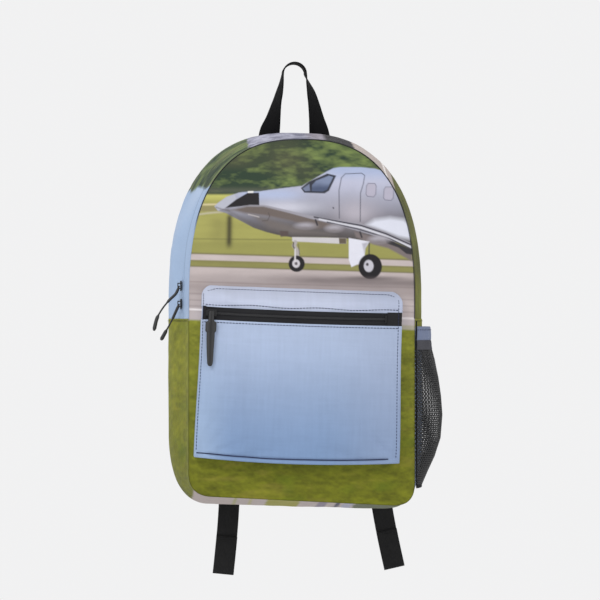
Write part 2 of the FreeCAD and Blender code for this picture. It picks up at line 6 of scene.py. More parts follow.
import bpy
import numpy as np
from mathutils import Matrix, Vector

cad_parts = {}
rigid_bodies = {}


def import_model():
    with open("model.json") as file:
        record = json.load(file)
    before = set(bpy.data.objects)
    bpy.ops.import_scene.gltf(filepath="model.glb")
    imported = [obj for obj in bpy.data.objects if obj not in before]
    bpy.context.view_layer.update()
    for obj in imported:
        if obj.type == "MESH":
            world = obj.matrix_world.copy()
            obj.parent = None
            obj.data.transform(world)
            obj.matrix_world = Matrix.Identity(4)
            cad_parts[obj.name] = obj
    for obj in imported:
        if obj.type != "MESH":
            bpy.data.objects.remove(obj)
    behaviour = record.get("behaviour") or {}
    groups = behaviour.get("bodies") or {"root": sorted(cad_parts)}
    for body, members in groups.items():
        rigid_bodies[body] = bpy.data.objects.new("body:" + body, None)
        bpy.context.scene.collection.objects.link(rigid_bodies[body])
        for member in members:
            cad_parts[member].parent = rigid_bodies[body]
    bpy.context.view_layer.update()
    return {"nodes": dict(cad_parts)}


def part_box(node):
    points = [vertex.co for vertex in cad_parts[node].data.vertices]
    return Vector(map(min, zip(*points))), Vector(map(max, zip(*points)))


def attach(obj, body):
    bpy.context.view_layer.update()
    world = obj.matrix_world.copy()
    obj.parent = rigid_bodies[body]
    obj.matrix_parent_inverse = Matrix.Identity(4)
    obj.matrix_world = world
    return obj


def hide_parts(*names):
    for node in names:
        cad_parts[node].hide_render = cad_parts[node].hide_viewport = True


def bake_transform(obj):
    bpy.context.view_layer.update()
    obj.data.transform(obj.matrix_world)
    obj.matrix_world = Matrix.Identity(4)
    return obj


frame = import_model()
MM = 0.001

# Outlines of the body at its front seam, zip, widest place and back seam.
# Each is depth, left, right, top, bottom left, bottom right, corner width, corner height.
SECTIONS = np.array(
    [
        (-118.0, -130.5, 130.5, -99.5, -509.0, -523.0, 26.0, 26.0),
        (-88.0, -136.0, 135.5, -96.0, -514.0, -526.0, 33.0, 42.0),
        (-33.0, -150.5, 149.0, -86.5, -522.5, -531.5, 47.0, 84.0),
        (0.0, -142.0, 140.0, -92.0, -516.0, -525.0, 42.0, 70.0),
    ]
)
ARCH_FOOT = -288.0
ARCH_POWER = 2.55
FRONT_Y = -118.0
ZIP_Y = -88.0
ZIP_END_Z = -306.0
# The ladder lock at the foot of each shoulder strap.
LOCK_Y = 21.0
LOCK_Z = -447.0
SIDE_FOOT_Z = -488.0

# Front pocket.
POCKET_HALF = 115.0
POCKET_TOP = -271.0
POCKET_BOTTOM = -468.0
POCKET_X = -4.0
POCKET_ROLL = math.radians(2.0)
POCKET_DEPTH = 27.4
POCKET_BACK = -119.8
POCKET_ZIP = (-296.0, -310.0)


# ---------------------------------------------------------------- numbers and colours


def srgb(r, g, b):
    """Linear colour from 0 to 255 values."""
    c = np.array([r, g, b], float) / 255
    return np.where(c <= 0.04045, c / 12.92, ((c + 0.055) / 1.055) ** 2.4)


def ease(t):
    t = np.clip(t, 0, 1)
    return t * t * (3 - 2 * t)


def hump(t):
    """Bell curve of height 1 that has fallen to a third at 1 and -1."""
    return np.exp(-(t**2))


_LATTICE = np.random.RandomState(7).rand(256, 256)


def value_noise(u, v, seed=0):
    """Smooth noise from 0 to 1 over a plane, one cell per unit."""
    u, v = u + 17.3 * seed, v + 9.1 * seed
    i, j = np.floor(u).astype(int), np.floor(v).astype(int)
    a, b = ease(u - i), ease(v - j)

    def knot(m, n):
        return _LATTICE[(i + m) % 256, (j + n) % 256]

    low = knot(0, 0) * (1 - a) + knot(1, 0) * a
    return low * (1 - b) + (knot(0, 1) * (1 - a) + knot(1, 1) * a) * b


def clouds(u, v, size, seed=0, octaves=4):
    """Layered noise from -1 to 1 with its largest spots about size wide."""
    total, weight = np.zeros(np.broadcast(u, v).shape), 0.0
    for k in range(octaves):
        share = 0.5**k
        total = total + share * (2 * value_noise(u / size * 2**k, v / size * 2**k, seed + k) - 1)
        weight += share
    return total / weight


def section(y):
    """The body's outline numbers at depth y, on one smooth curve through the four outlines."""
    ys = SECTIONS[:, 0]
    out = np.zeros(7)
    for i in range(4):
        share = 1.0
        for j in range(4):
            if i != j:
                share *= (y - ys[j]) / (ys[i] - ys[j])
        out += share * SECTIONS[i, 1:]
    return out


def arch_angles(count):
    """Angles that space points evenly along the arch, from its left foot to its right foot."""
    left, right, top = SECTIONS[1, 1:4]
    fine = np.linspace(math.pi, 0, 4001)
    c, s = np.cos(fine), np.sin(fine)
    x = (right - left) / 2 * np.sign(c) * np.abs(c) ** (2 / ARCH_POWER)
    z = (top - ARCH_FOOT) * np.abs(s) ** (2 / ARCH_POWER)
    run = np.concatenate([[0], np.cumsum(np.hypot(np.diff(x), np.diff(z)))])
    return np.interp(np.linspace(0, run[-1], count), run, fine)


def arch_points(y, angles):
    left, right, top = section(y)[:3]
    c, s = np.cos(angles), np.sin(angles)
    x = (left + right) / 2 + (right - left) / 2 * np.sign(c) * np.abs(c) ** (2 / ARCH_POWER)
    return np.stack([x, ARCH_FOOT + (top - ARCH_FOOT) * np.abs(s) ** (2 / ARCH_POWER)], -1)


def line(p, q, count):
    t = np.linspace(0, 1, count)[:, None]
    return np.array(p) * (1 - t) + np.array(q) * t


def arch_path(y, angles, step=2.5):
    """Outline from the left zip end, over the arch, to the right zip end."""
    left, right = section(y)[:2]
    foot = max(2, int((ARCH_FOOT - ZIP_END_Z) / step) + 1)
    a = line((left, ZIP_END_Z), (left, ARCH_FOOT), foot)[:-1]
    b = line((right, ARCH_FOOT), (right, ZIP_END_Z), foot)[1:]
    return np.concatenate([a, arch_points(y, angles), b])


def corner(p, q, r, count):
    """Rounded corner from p to r that leans towards q."""
    t = np.linspace(0, 1, count)[:, None]
    return (1 - t) ** 2 * np.array(p) + 2 * t * (1 - t) * np.array(q) + t**2 * np.array(r)


def low_outline(y):
    """Dense outline from the left zip end, round the bottom, to the right zip end."""
    left, right, _, low_left, low_right, wide, high = section(y)
    slope = (low_right - low_left) / (right - left)
    lc, rc = (left, low_left + high), (right, low_right + high)
    lf, rf = (left + wide, low_left + slope * wide), (right - wide, low_right - slope * wide)
    parts = [
        line((left, ZIP_END_Z), lc, 60)[:-1], corner(lc, (left, low_left), lf, 60)[:-1],
        line(lf, rf, 60)[:-1],
    ]
    parts += [corner(rf, (right, low_right), rc, 60)[:-1], line(rc, (right, ZIP_END_Z), 60)]
    return np.concatenate(parts)


def low_path(y, side=62, floor=120):
    """Outline below the zip ends: two sides spaced by height, and the bottom between them."""
    path = low_outline(y)
    half = len(path) // 2
    z = np.linspace(ZIP_END_Z, SIDE_FOOT_Z, side)
    lx = np.interp(-z, -path[:half, 1], path[:half, 0])
    rx = np.interp(-z, -path[half:, 1][::-1], path[half:, 0][::-1])
    under = path[path[:, 1] < SIDE_FOOT_Z]
    under = np.concatenate([[(lx[-1], SIDE_FOOT_Z)], under, [(rx[-1], SIDE_FOOT_Z)]])
    run = np.concatenate([[0], np.cumsum(np.hypot(*np.diff(under, axis=0).T))])
    at = np.linspace(0, run[-1], floor)
    middle = np.stack([np.interp(at, run, under[:, 0]), np.interp(at, run, under[:, 1])], -1)
    return np.concatenate([np.stack([lx, z], -1)[:-1], middle, np.stack([rx, z], -1)[::-1][1:]])


# ---------------------------------------------------------------- painting the print


def outside(x, z, points):
    """Distance from a closed outline, negative inside it."""
    pts = np.array(points, float)
    best = np.full(x.shape, 1e9)
    inside = np.zeros(x.shape, bool)
    for (ax, az), (bx, bz) in zip(pts, np.roll(pts, -1, 0)):
        dx, dz = bx - ax, bz - az
        t = np.clip(((x - ax) * dx + (z - az) * dz) / (dx * dx + dz * dz + 1e-12), 0, 1)
        best = np.minimum(best, np.hypot(x - ax - t * dx, z - az - t * dz))
        crosses = (az > z) != (bz > z)
        at = ax + (z - az) * dx / (dz if abs(dz) > 1e-12 else 1e-12)
        inside ^= crosses & (x < at)
    return np.where(inside, -best, best)


def along(x, z, points):
    """Distance from an open line."""
    best = np.full(x.shape, 1e9)
    for (ax, az), (bx, bz) in zip(points[:-1], points[1:]):
        dx, dz = bx - ax, bz - az
        t = np.clip(((x - ax) * dx + (z - az) * dz) / (dx * dx + dz * dz), 0, 1)
        best = np.minimum(best, np.hypot(x - ax - t * dx, z - az - t * dz))
    return best


def lay(image, colour, cover):
    """Paints a colour over the image where cover is 1. A tuple is an sRGB colour from 0 to 255."""
    colour = srgb(*colour) if isinstance(colour, tuple) else colour
    cover = np.clip(cover, 0, 1)[..., None]
    return image * (1 - cover) + colour * cover


class Picture:
    """Colours painted on points of cloth, with x across and z up."""

    def __init__(self, x, z, image):
        self.x, self.z, self.image = x, z, image

    def lay(self, colour, cover):
        self.image = lay(self.image, colour, cover)

    def shade(self, factor):
        self.image = self.image * factor[..., None]

    def patch(self, points, colour, soft=1.0, strength=1.0):
        self.lay(colour, strength * (0.5 - outside(self.x, self.z, points) / soft))

    def stroke(self, points, colour, width=1.2, soft=0.9, strength=1.0):
        self.lay(colour, strength * (0.5 - (along(self.x, self.z, points) - width / 2) / soft))

    def disc(self, centre, rx, rz, colour, soft=1.0, strength=1.0):
        r = np.hypot((self.x - centre[0]) / rx, (self.z - centre[1]) / rz)
        self.lay(colour, strength * (0.5 - (r - 1) * min(rx, rz) / soft))


def streaks(x, z, size, seed):
    """Noise drawn out sideways, as a background looks when the camera follows a moving thing."""
    return clouds(x / 5.5, z, size, seed)


def uneven(colour, noise):
    """An sRGB colour made lighter and darker by noise."""
    return srgb(*colour) * (1 + noise)[..., None]


def foliage(x, z):
    leaf = clouds(x / 2.4, z, 7, 3, 5) + 0.45 * clouds(x / 2.6, z, 2.4, 5, 2)
    deep = clouds(x / 2.2, z, 34, 11, 3)
    left = ease((-35 - x) / 50) * ease((-116 - z) / 18)
    tone = 0.42 + 0.85 * leaf + 0.65 * deep - 0.62 * left
    image = lay(srgb(46, 62, 48), (116, 132, 76), tone)
    return lay(image, (112, 106, 76), 0.55 * np.clip(clouds(x / 2, z, 30, 21, 2) - 0.1, 0, 1))


def grass(x, z):
    """Close-cut grass that darkens towards the bottom of the picture."""
    image = lay(srgb(132, 134, 46), (104, 107, 20), (-306 - z) / 210)
    tuft = clouds(x / 2.2, z, 5, 31, 4) + 0.6 * clouds(x / 1.8, z, 2.0, 33, 2)
    patchy = clouds(x / 1.4, z, 34, 37, 3)
    image = image * (1 + 0.38 * tuft + 0.16 * patchy)[..., None]
    image = lay(image, (150, 138, 58), 0.8 * np.clip(clouds(x / 3.5, z, 8, 43, 3) - 0.22, 0, 1))
    return lay(image, (78, 100, 14), 0.9 * np.clip(clouds(x / 1.6, z, 22, 45, 3) - 0.15, 0, 1))


def sky(x, z, seed=5):
    image = uneven((156, 178, 208), 0.035 * clouds(x, z, 38, seed, 3))
    return lay(image, (184, 198, 220), 0.5 * ease(clouds(x, z, 55, seed + 3, 2)))


def paint_front(x, z):
    """The picture on the front panel: a plain turboprop on a runway, with grass and trees behind it."""
    pic = Picture(x, z, foliage(x, z))
    paint_field(pic)
    paint_runway(pic)
    paint_nose(pic)
    paint_openings(pic)
    paint_wing(pic)
    paint_wheels(pic)
    paint_propeller(pic)
    return pic.image


def paint_field(pic):
    """The far field below the trees, with its path and pale tracks."""
    x, z = pic.x, pic.z
    field = uneven((158, 155, 88), 0.10 * streaks(x, z, 6, 41))
    field = lay(field, (188, 186, 104), 1 - ease((-163.5 - z) / 9))
    field = lay(field, (139, 137, 78), ease((-214 - z) / 6) * 0.65)
    pic.lay(field, ease((-161.5 - z) / 3.5))
    pic.lay((96, 98, 84), 0.55 * hump((z + 158.5) / 3.5))
    pic.lay((138, 130, 92), ease((-175 - z) / 2) * ease((z + 184.5) / 3) * 0.85)
    pic.stroke([(-124, -175.0), (-95, -174.6)], (202, 190, 150), 1.9, 1.6)
    pic.stroke([(-130, -187.6), (-108, -184.6), (-92, -183.2)], (178, 172, 146), 2.1, 1.8)
    pic.stroke([(-140, -214.2), (140, -216.5)], (104, 104, 62), 1.0, 2.2, 0.8)


def paint_runway(pic):
    """Two strips of tarmac with a verge between them, the aeroplane's shadow, and the grass in front."""
    x, z = pic.x, pic.z
    lean = z + 0.028 * (x + 130)
    tarmac = uneven((188, 176, 174), 0.07 * streaks(x, z, 3.2, 47) + 0.05 * streaks(x, z, 14, 49))
    for low, high in ((-239.2, -230.6), (-307.5, -245.2)):
        pic.lay(tarmac, ease((high - lean) / 1.6) * ease((lean - low) / 1.6))
    verge = uneven((136, 133, 80), 0.12 * streaks(x, z, 5, 53))
    pic.lay(verge, ease((-239.0 - lean) / 1.4) * ease((lean + 245.4) / 1.4))
    for height, wide, much in ((-230.8, 1.1, 0.6), (-239.2, 0.9, 0.45), (-245.6, 1.0, 0.6)):
        pic.lay((96, 88, 72), much * hump((lean - height) / wide))
    pic.lay((88, 78, 78), hump((lean + 258.0) / 6.5) * (0.18 + 0.5 * ease((x + 75) / 100)))
    pic.lay((128, 117, 116), 0.5 * hump((lean + 269.0) / 8.0))
    for k, height in enumerate((-263.5, -277.0, -284.5, -291.0)):
        wavy = lean - height + 0.8 * clouds(x, 0 * z, 60, 60 + k, 2)
        pic.lay((120, 108, 106), 0.38 * hump(wavy / 0.8))
    pic.lay((236, 228, 226), 0.5 - (np.abs(z + 295.2 + 0.042 * (x + 130)) - 1.15) / 1.1)
    pic.lay((198, 188, 188), 0.5 * ease((-296.5 - lean) / 3))
    pic.lay(grass(x, z), ease((-306.5 - 0.045 * (x + 130) - z) / 2.2))


# Outline of the aeroplane's body, from the tip of its nose over its top and back along its belly.
AEROPLANE = [
    (-101, -177), (-97, -173), (-87, -166), (-73, -161), (-63, -160), (-50, -159.6), (-25, -156), (0, -153),
    (10, -147), (29, -136), (36, -132.5), (44, -131), (68, -131), (85, -132.6), (96, -136), (112, -142),
    (130, -150), (150, -160), (150, -222), (120, -218), (79, -217), (55, -214), (29, -212.5), (-11, -212.5),
    (-29, -209.5), (-41, -206.5), (-56, -201.5), (-69, -194.5), (-81, -188.5), (-87, -185), (-97, -182),
]


def paint_nose(pic):
    """The aeroplane's body, spinner, black anti-glare patch, and the creases of its cowl."""
    x, z = pic.x, pic.z
    skin = lay(srgb(78, 73, 72), (186, 188, 208), ease((z + 213) / 75))
    skin = lay(skin, (158, 172, 204), 0.75 * ease((z + 150) / 16) * ease((x - 5) / 40))
    glow = hump((z + 163) / 7) * ease((15 - x) / 40) * ease((x + 80) / 20)
    skin = lay(skin, (172, 184, 214), 0.8 * glow)
    skin = lay(skin, (206, 206, 218), 0.75 * hump(np.hypot((z + 178) / 8, (x + 22) / 42)))
    skin = lay(skin, (180, 174, 184), 0.8 * hump(np.hypot((z + 184) / 16, (x - 62) / 26)))
    skin = skin * (1 + 0.035 * clouds(x, z, 14, 71, 3))[..., None]
    pic.patch(AEROPLANE, skin, 1.2)
    pic.patch(
        [(-101, -177), (-97, -173), (-87, -166), (-78, -163), (-76, -168), (-86, -178), (-97, -182)],
        (176, 178, 190), 1.2, 0.9,
    )
    pic.stroke([(-99, -178), (-92, -180.5), (-84, -182)], (92, 84, 86), 1.6, 1.6, 0.6)
    pic.patch(
        [
            (-88.5, -178.5), (-76, -169), (-62.5, -161), (-49.8, -161), (-49.4, -175.5), (-60, -175.3),
            (-73, -177),
        ],
        (36, 34, 36), 0.9,
    )
    pic.stroke([(-62, -160.4), (-57, -160.2)], (248, 246, 244), 1.6, 1.2)
    pic.stroke([(-87, -180), (-72, -190), (-56, -198), (-40, -203)], (92, 86, 84), 2.2, 4.0, 0.45)
    pic.patch(
        [
            (-82, -181), (-64, -176), (-44, -176), (-10, -184), (14, -190), (40, -199), (18, -203),
            (-12, -194), (-42, -188), (-66, -185),
        ],
        (106, 96, 92), 3.0, 0.85,
    )
    pic.patch(
        [(-60, -186), (-36, -190), (-4, -200), (28, -206), (40, -210), (-12, -210), (-38, -203)],
        (108, 101, 99), 5.0, 0.7,
    )
    pic.stroke([(-46, -193.5), (-40, -193), (-37.5, -188), (-39, -184)], (84, 76, 76), 0.9, 1.0, 0.9)
    pic.stroke([(-62, -186), (-50, -189)], (214, 206, 204), 0.8, 1.2, 0.7)
    pic.patch([(-26, -205), (-16, -205), (-16, -211), (-25, -212)], (86, 74, 72), 1.4, 0.85)


def paint_openings(pic):
    """Windscreen, door, lamp and two cabin windows, and the pale fairing behind them."""
    x, z = pic.x, pic.z
    pic.patch(
        [
            (-1.5, -155.5), (8, -148), (29, -138.6), (39.5, -141), (31, -158.5), (26, -161.5),
            (2.5, -160.8),
        ],
        (52, 54, 64), 0.9,
    )
    glass = lay(
        srgb(76, 86, 112) + 0 * x[..., None], srgb(122, 133, 160),
        ease((z + 156) / 9 + 0.25 * clouds(x, z, 10, 77, 2)),
    )
    pic.patch(
        [(11.5, -152), (16, -147), (31, -141), (36, -142.5), (29, -157), (24, -159.4), (11, -159)],
        glass, 0.9, 0.92,
    )
    pic.patch([(0.5, -156), (8.5, -150.5), (9.2, -158.6), (3.6, -159.2)], (112, 120, 144), 0.9, 0.9)
    door = [
        (43, -190), (42.6, -158), (45.5, -143.5), (50, -138.8), (69, -138), (72.6, -140.5), (71, -150),
        (67.6, -161), (67.2, -194),
    ]
    pic.stroke(door, (60, 62, 74), 0.9, 0.9, 0.9)
    pic.stroke([(36, -178), (36.2, -178.6)], (40, 40, 48), 1.4, 1.0)
    for middle, height in ((80, -157.5), (100.5, -161.5)):
        w, h = 5.4, 7.8
        ring = [
            (middle - w, height + h - 3), (middle - w + 2, height + h), (middle + w - 1, height + h),
            (middle + w + 0.6, height + h - 3),
        ]
        ring += [
            (middle + w, height - h + 3), (middle + w - 2.5, height - h),
            (middle - w + 1, height - h + 0.6), (middle - w - 0.6, height - h + 3),
        ]
        pic.patch(ring, (174, 170, 186), 1.0, 0.6)
        pic.stroke(ring + ring[:1], (104, 102, 116), 0.8, 0.9, 0.85)
    fair = [
        (74, -198), (84, -191.5), (102, -189), (118, -191), (130, -199), (134, -216), (112, -212),
        (88, -203),
    ]
    pic.patch(fair, (210, 212, 224), 6.0, 0.95)


def paint_wing(pic):
    """Wing with its leading-edge stripes, and the fairings under it."""
    wing = [
        (-48, -175.5), (-40, -176), (10, -187), (29, -190.5), (68, -196), (97, -205.5), (128, -219),
        (150, -230),
    ]
    wing += [
        (150, -245), (128, -228.5), (119, -221), (102, -215.8), (66, -205.2), (47, -200), (29, -195.2),
        (8, -190.5),
    ]
    pic.patch(wing, (150, 147, 156), 1.0)
    pic.patch(
        [(60, -205), (102, -216.5), (128, -229), (128, -240), (100, -225), (84, -221), (62, -212)],
        (118, 108, 108), 2.0, 0.8,
    )
    pic.stroke(
        [(14, -188.9), (46, -194.6), (68, -198.4), (97, -207.8), (128, -221), (150, -231)],
        (46, 46, 56), 1.5, 0.9,
    )
    pic.stroke(
        [(20, -191.4), (46, -196.8), (68, -200.8), (97, -210.4), (128, -223.8), (150, -234)],
        (206, 206, 214), 2.0, 1.2, 0.9,
    )
    pic.stroke([(29, -194.6), (64, -202.4), (102, -213.6), (128, -226), (150, -238)], (58, 58, 66), 1.3, 1.0)
    pic.patch(
        [(96, -214.5), (106, -217), (128, -226), (128, -232), (121, -231), (112, -224), (98, -219)],
        (52, 50, 54), 1.2, 0.9,
    )
    for middle, rx, rz in (((4, -199), 12, 4.0), ((37, -201.8), 10, 4.4), ((89, -214.5), 12, 5.0)):
        pic.disc(middle, rx, rz, (164, 160, 168), 3.0, 0.7)
        pic.disc((middle[0], middle[1] - rz * 0.6), rx * 0.9, rz * 0.5, (112, 104, 104), 3.0, 0.6)
    for foot in ((17.5, -198), (69, -212)):
        pic.stroke([(foot[0] - 2, foot[1] + 6), foot], (48, 46, 52), 2.0, 1.2, 0.85)


def paint_wheels(pic):
    """Belly strip, nose leg, and the main wheel with its door and shadow."""
    pic.patch([(-11.5, -212), (51, -213), (51, -219.6), (43, -219.6), (-11.5, -217)], (196, 192, 194), 1.0)
    pic.patch([(42.5, -213), (51, -213), (51, -219.6), (43, -219.6)], (96, 86, 74), 1.0)
    pic.stroke([(-8, -218), (-9.4, -222), (-5.4, -228.5), (-6, -238)], (168, 162, 160), 4.6, 1.4)
    pic.stroke([(-10, -218.5), (-10.4, -222.5), (-7.6, -228)], (70, 60, 56), 1.3, 1.0, 0.9)
    pic.stroke([(-4.5, -220), (-3, -232)], (92, 84, 82), 1.0, 1.0, 0.8)
    pic.disc((-6.4, -242.8), 9.3, 9.4, (34, 32, 34), 1.0)
    pic.disc((-7.0, -242.6), 4.4, 4.8, (196, 192, 196), 1.0)
    pic.disc((-7.0, -242.6), 1.7, 1.8, (96, 90, 92), 0.9)
    pic.stroke([(-8, -226), (-8.2, -240)], (206, 202, 204), 1.8, 1.0, 0.9)
    pic.patch(
        [(54, -213), (78, -217), (73, -225), (71.8, -240), (57, -246.5), (54, -238)], (214, 214, 224),
        1.0,
    )
    pic.patch([(69, -219), (78, -217), (73, -225), (72, -232)], (172, 170, 180), 1.6, 0.7)
    pic.stroke([(77.6, -219), (77.4, -234)], (62, 60, 62), 1.5, 1.0, 0.9)
    pic.disc((78.8, -245.8), 13.6, 14.4, (32, 30, 33), 1.0)
    pic.disc((77.0, -245.2), 5.6, 7.0, (190, 188, 196), 1.1)
    pic.disc((75.4, -243.4), 1.6, 1.8, (70, 66, 70), 0.9)
    pic.disc((79.0, -259.5), 30, 2.2, (74, 66, 68), 3.0, 0.55)


def paint_propeller(pic):
    """The spinning propeller is only a dark blur."""
    x, z = pic.x, pic.z
    blade = hump((x + 84 - 0.02 * (z + 200)) / 3.4) * ease((-183 - z) / 8) * ease((z + 229) / 12)
    pic.lay((54, 50, 40), 0.9 * blade)
    haze = hump((x + 97) / 11.0) * ease((-186 - z) / 8) * ease((z + 226) / 16)
    pic.lay((112, 108, 66), 0.35 * haze)


def paint_gusset(x, y, z, run):
    """The strip over the arch has stray parts of the picture: sky, trees, metal, black, runway and grass."""
    pic = Picture(x, z, sky(y, z))
    above = z > -200
    edge = 3 * clouds(run, y, 18, 81, 3)
    pic.lay(foliage(run * 0.8, y * 1.3) * 1.05, ease((z + 158 + 2.4 * edge) / 5) * (x < 0))
    metal = (x > -60 + edge) & above
    pic.lay((118, 118, 138), metal)
    pale = np.clip(0.5 + 1.3 * clouds(run, y, 9, 83, 4), 0, 1)
    pic.lay((188, 188, 206), 0.85 * pale * (metal & (x < 40)))
    pic.lay((150, 140, 146), 0.6 * ease((x - 2) / 18) * above)
    black = uneven((40, 38, 42), 0.5 * clouds(run, y, 5, 87, 2))
    pic.lay(black, ease((x - 27 - 1.5 * edge) / 8) * above)
    pic.lay(uneven((182, 170, 164), 0.05 * streaks(run, y, 6, 89)), ease((x - 63) / 1.5))
    pic.lay((244, 240, 238), 0.5 - (np.abs(x - 101) - 1.2))
    green = grass(run, y - 380) * (0.44 + 0.38 * ease((-240 - z) / 50))[..., None] * [1, 1, 0.7]
    green = lay(green, (136, 138, 40), 0.25 * ease(clouds(run, y, 20, 91, 2)))
    # Painted shade: a dark olive line in the crease that runs down the lower right strip.
    crease_shade = hump((y + 107 + 0.12 * (z + 300)) / 1.6) * ease((-262 - z) / 14)
    green = lay(green, (30, 34, 10), 0.85 * crease_shade)
    pic.lay(green, ease((x - 110) / 1.5))
    return pic.image


# Stray colours on the bottom panel: from x, to x, colour.
BOTTOM_STRIPES = (
    (-78, -73, (150, 150, 96)),
    (-60, -55, (160, 156, 104)),
    (-40, 0, (136, 134, 36)),
    (20, 32, (120, 112, 128)),
    (40, 47, (44, 48, 74)),
    (49, 62, (150, 152, 170)),
    (62, 140, (74, 84, 58)),
)


def paint_low(x, y, z):
    """Sides and bottom: grass, sky on the right side behind the net, and a striped pale band below."""
    image = grass(y * 1.2 + x * 0.4, z) * [0.92, 0.92, 0.36]
    blue = uneven((128, 142, 166), 0.05 * clouds(y, z, 25, 93, 3))
    image = lay(image, blue, (x > 0) * ease((z + 512) / 10) * ease((-315 - z) / 2))
    band = srgb(168, 157, 154) + 0 * x[..., None]
    for low, high, colour in BOTTOM_STRIPES:
        band = lay(band, colour, 0.9 * ease((x - low) / 2) * ease((high - x) / 2))
    band = band * (1 + 0.08 * streaks(x, y, 7, 95))[..., None]
    return lay(image, band, ease((-z - 498 - 0.03 * (x + 130)) / 6) * ((x < 118) & (x > -124)))


def paint_pocket(x, z):
    """Plain sky: paler towards the top, with soft clouds of a darker blue. The sloping strip above the zip is
    painted lighter still, as painted light from above, and a dark line along the foot seam is painted shade
    in its groove.
    """
    low = ease((-300 - z) / 165)
    pic = Picture(x, z, lay(srgb(168, 182, 208), (122, 147, 184), low))
    pic.shade(1 + 0.05 * clouds(x, z, 60, 97, 3))
    # Painted light: the strip above the zip faces up, so it is painted lighter.
    pic.lay((188, 194, 214), 0.85 * ease((z + 300) / 8))
    pic.lay((170, 190, 216), 0.55 * ease((-x - 70) / 45) * low)
    pic.lay((148, 158, 182), 0.4 * ease((x - 20) / 90))
    # Painted shade in the groove of the pocket's foot seam.
    pic.lay((58, 70, 104), 0.6 * hump((z + 462.5) / 1.3) * ease((104 - np.abs(x)) / 8))
    pic.shade(1 + 0.035 * clouds(x, z / 16, 1.8, 99, 2) + 0.03 * clouds(x / 16, z, 1.8, 103, 2))
    return pic.image


# ---------------------------------------------------------------- building meshes


def finish_mesh(name, verts, faces, body, colours=None, uvs=None):
    mesh = bpy.data.meshes.new(name)
    mesh.from_pydata((np.asarray(verts, float).reshape(-1, 3) * MM).tolist(), [], faces)
    mesh.polygons.foreach_set("use_smooth", [True] * len(mesh.polygons))
    if colours is not None:
        rgba = np.ones((len(mesh.vertices), 4), np.float32)
        rgba[:, :3] = np.clip(np.asarray(colours).reshape(-1, 3), 0, 1)
        mesh.color_attributes.new("print", "FLOAT_COLOR", "POINT").data.foreach_set("color", rgba.ravel())
    if uvs is not None:
        index = np.zeros(len(mesh.loops), int)
        mesh.loops.foreach_get("vertex_index", index)
        layer = mesh.uv_layers.new(name="UVMap")
        layer.data.foreach_set("uv", np.asarray(uvs, float).reshape(-1, 2)[index].astype(np.float32).ravel())
    mesh.update()
    obj = bpy.data.objects.new(name, mesh)
    bpy.context.scene.collection.objects.link(obj)
    if body:
        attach(obj, body)
    return obj


def grid(name, points, body, colours=None, uvs=None):
    """Cloth through a grid of points in millimetres."""
    rows, cols = points.shape[:2]
    if uvs is None:
        along_row = np.linalg.norm(np.diff(points, axis=1, prepend=points[:, :1]), axis=-1).mean(0).cumsum()
        down_column = np.linalg.norm(np.diff(points, axis=0, prepend=points[:1]), axis=-1).mean(1).cumsum()
        uvs = np.stack(np.meshgrid(along_row, down_column), -1) * MM
    i = np.arange(rows - 1)[:, None]
    j = np.arange(cols - 1)[None, :]
    a, b = i * cols + j, (i + 1) * cols + j
    faces = np.stack([a + 0 * b, b + 0 * a, b + 1, a + 1], -1).reshape(-1, 4).tolist()
    return finish_mesh(name, points, faces, body, colours, uvs)


def smooth_path(points, per_span=8):
    """Points on a smooth curve through the given ones."""
    p = np.array(points, float)
    p = np.concatenate([[2 * p[0] - p[1]], p, [2 * p[-1] - p[-2]]])
    out = []
    for a, b, c, d in zip(p[:-3], p[1:-2], p[2:-1], p[3:]):
        for t in np.linspace(0, 1, per_span, endpoint=False):
            bend = (2 * a - 5 * b + 4 * c - d) * t**2
            out.append(0.5 * (2 * b + (c - a) * t + bend + (3 * b - a - 3 * c + d) * t**3))
    out.append(p[-2])
    return np.array(out)


def unit(vectors):
    return vectors / np.linalg.norm(vectors, axis=-1, keepdims=True)


def frames(path, across):
    """Unit vectors across and out of a strip at each point of its path."""
    ahead = unit(np.gradient(path, axis=0))
    side = unit(across - ahead * (across * ahead).sum(1, keepdims=True))
    return side, np.cross(side, ahead)


def sweep(name, path, across, profile, body, colours=None):
    """Closed strip: a profile of (across, out) points carried along a path. Its ends are capped."""
    path = np.asarray(path, float)
    across = np.broadcast_to(np.asarray(across, float), path.shape)
    side, out = frames(path, across)
    prof = np.asarray(profile, float)
    shape = prof if prof.ndim == 3 else np.broadcast_to(prof, (len(path),) + prof.shape)
    pts = path[:, None] + side[:, None] * shape[..., :1] + out[:, None] * shape[..., 1:]
    n, m = pts.shape[:2]
    faces = []
    for i in range(n - 1):
        for j in range(m):
            k = (j + 1) % m
            faces.append((i * m + j, i * m + k, (i + 1) * m + k, (i + 1) * m + j))
    faces.append(tuple(range(m))[::-1])
    faces.append(tuple(range((n - 1) * m, n * m)))
    run = np.concatenate([[0], np.cumsum(np.linalg.norm(np.diff(path, axis=0), axis=1))])
    uvs = np.stack([shape[..., 0] * MM, np.broadcast_to(run[:, None] * MM, (n, m))], -1)
    return finish_mesh(name, pts, faces, body, colours, uvs)


def strip_profile(width, thick, crown=0.0, steps=10):
    """Cross-section of webbing or padding: rounded edges and a crowned face."""
    half, r = width / 2, thick / 2
    x = np.linspace(-half + r, half - r, steps)
    lift = crown * (1 - (x / half) ** 2)
    ends = np.linspace(-90, 90, 7)[1:-1]
    right = [(half - r + r * math.cos(math.radians(a)), r * math.sin(math.radians(a))) for a in ends]
    left = [(-half + r - r * math.cos(math.radians(a)), -r * math.sin(math.radians(a))) for a in ends]
    low = [(a, -r - 0.35 * b) for a, b in zip(x, lift)]
    high = [(a, r + b) for a, b in zip(x[::-1], lift[::-1])]
    return low + right + high + left


def ring_profile(radius, count=8):
    turn = [2 * math.pi * i / count for i in range(count)]
    return [(radius * math.cos(a), radius * math.sin(a)) for a in turn]


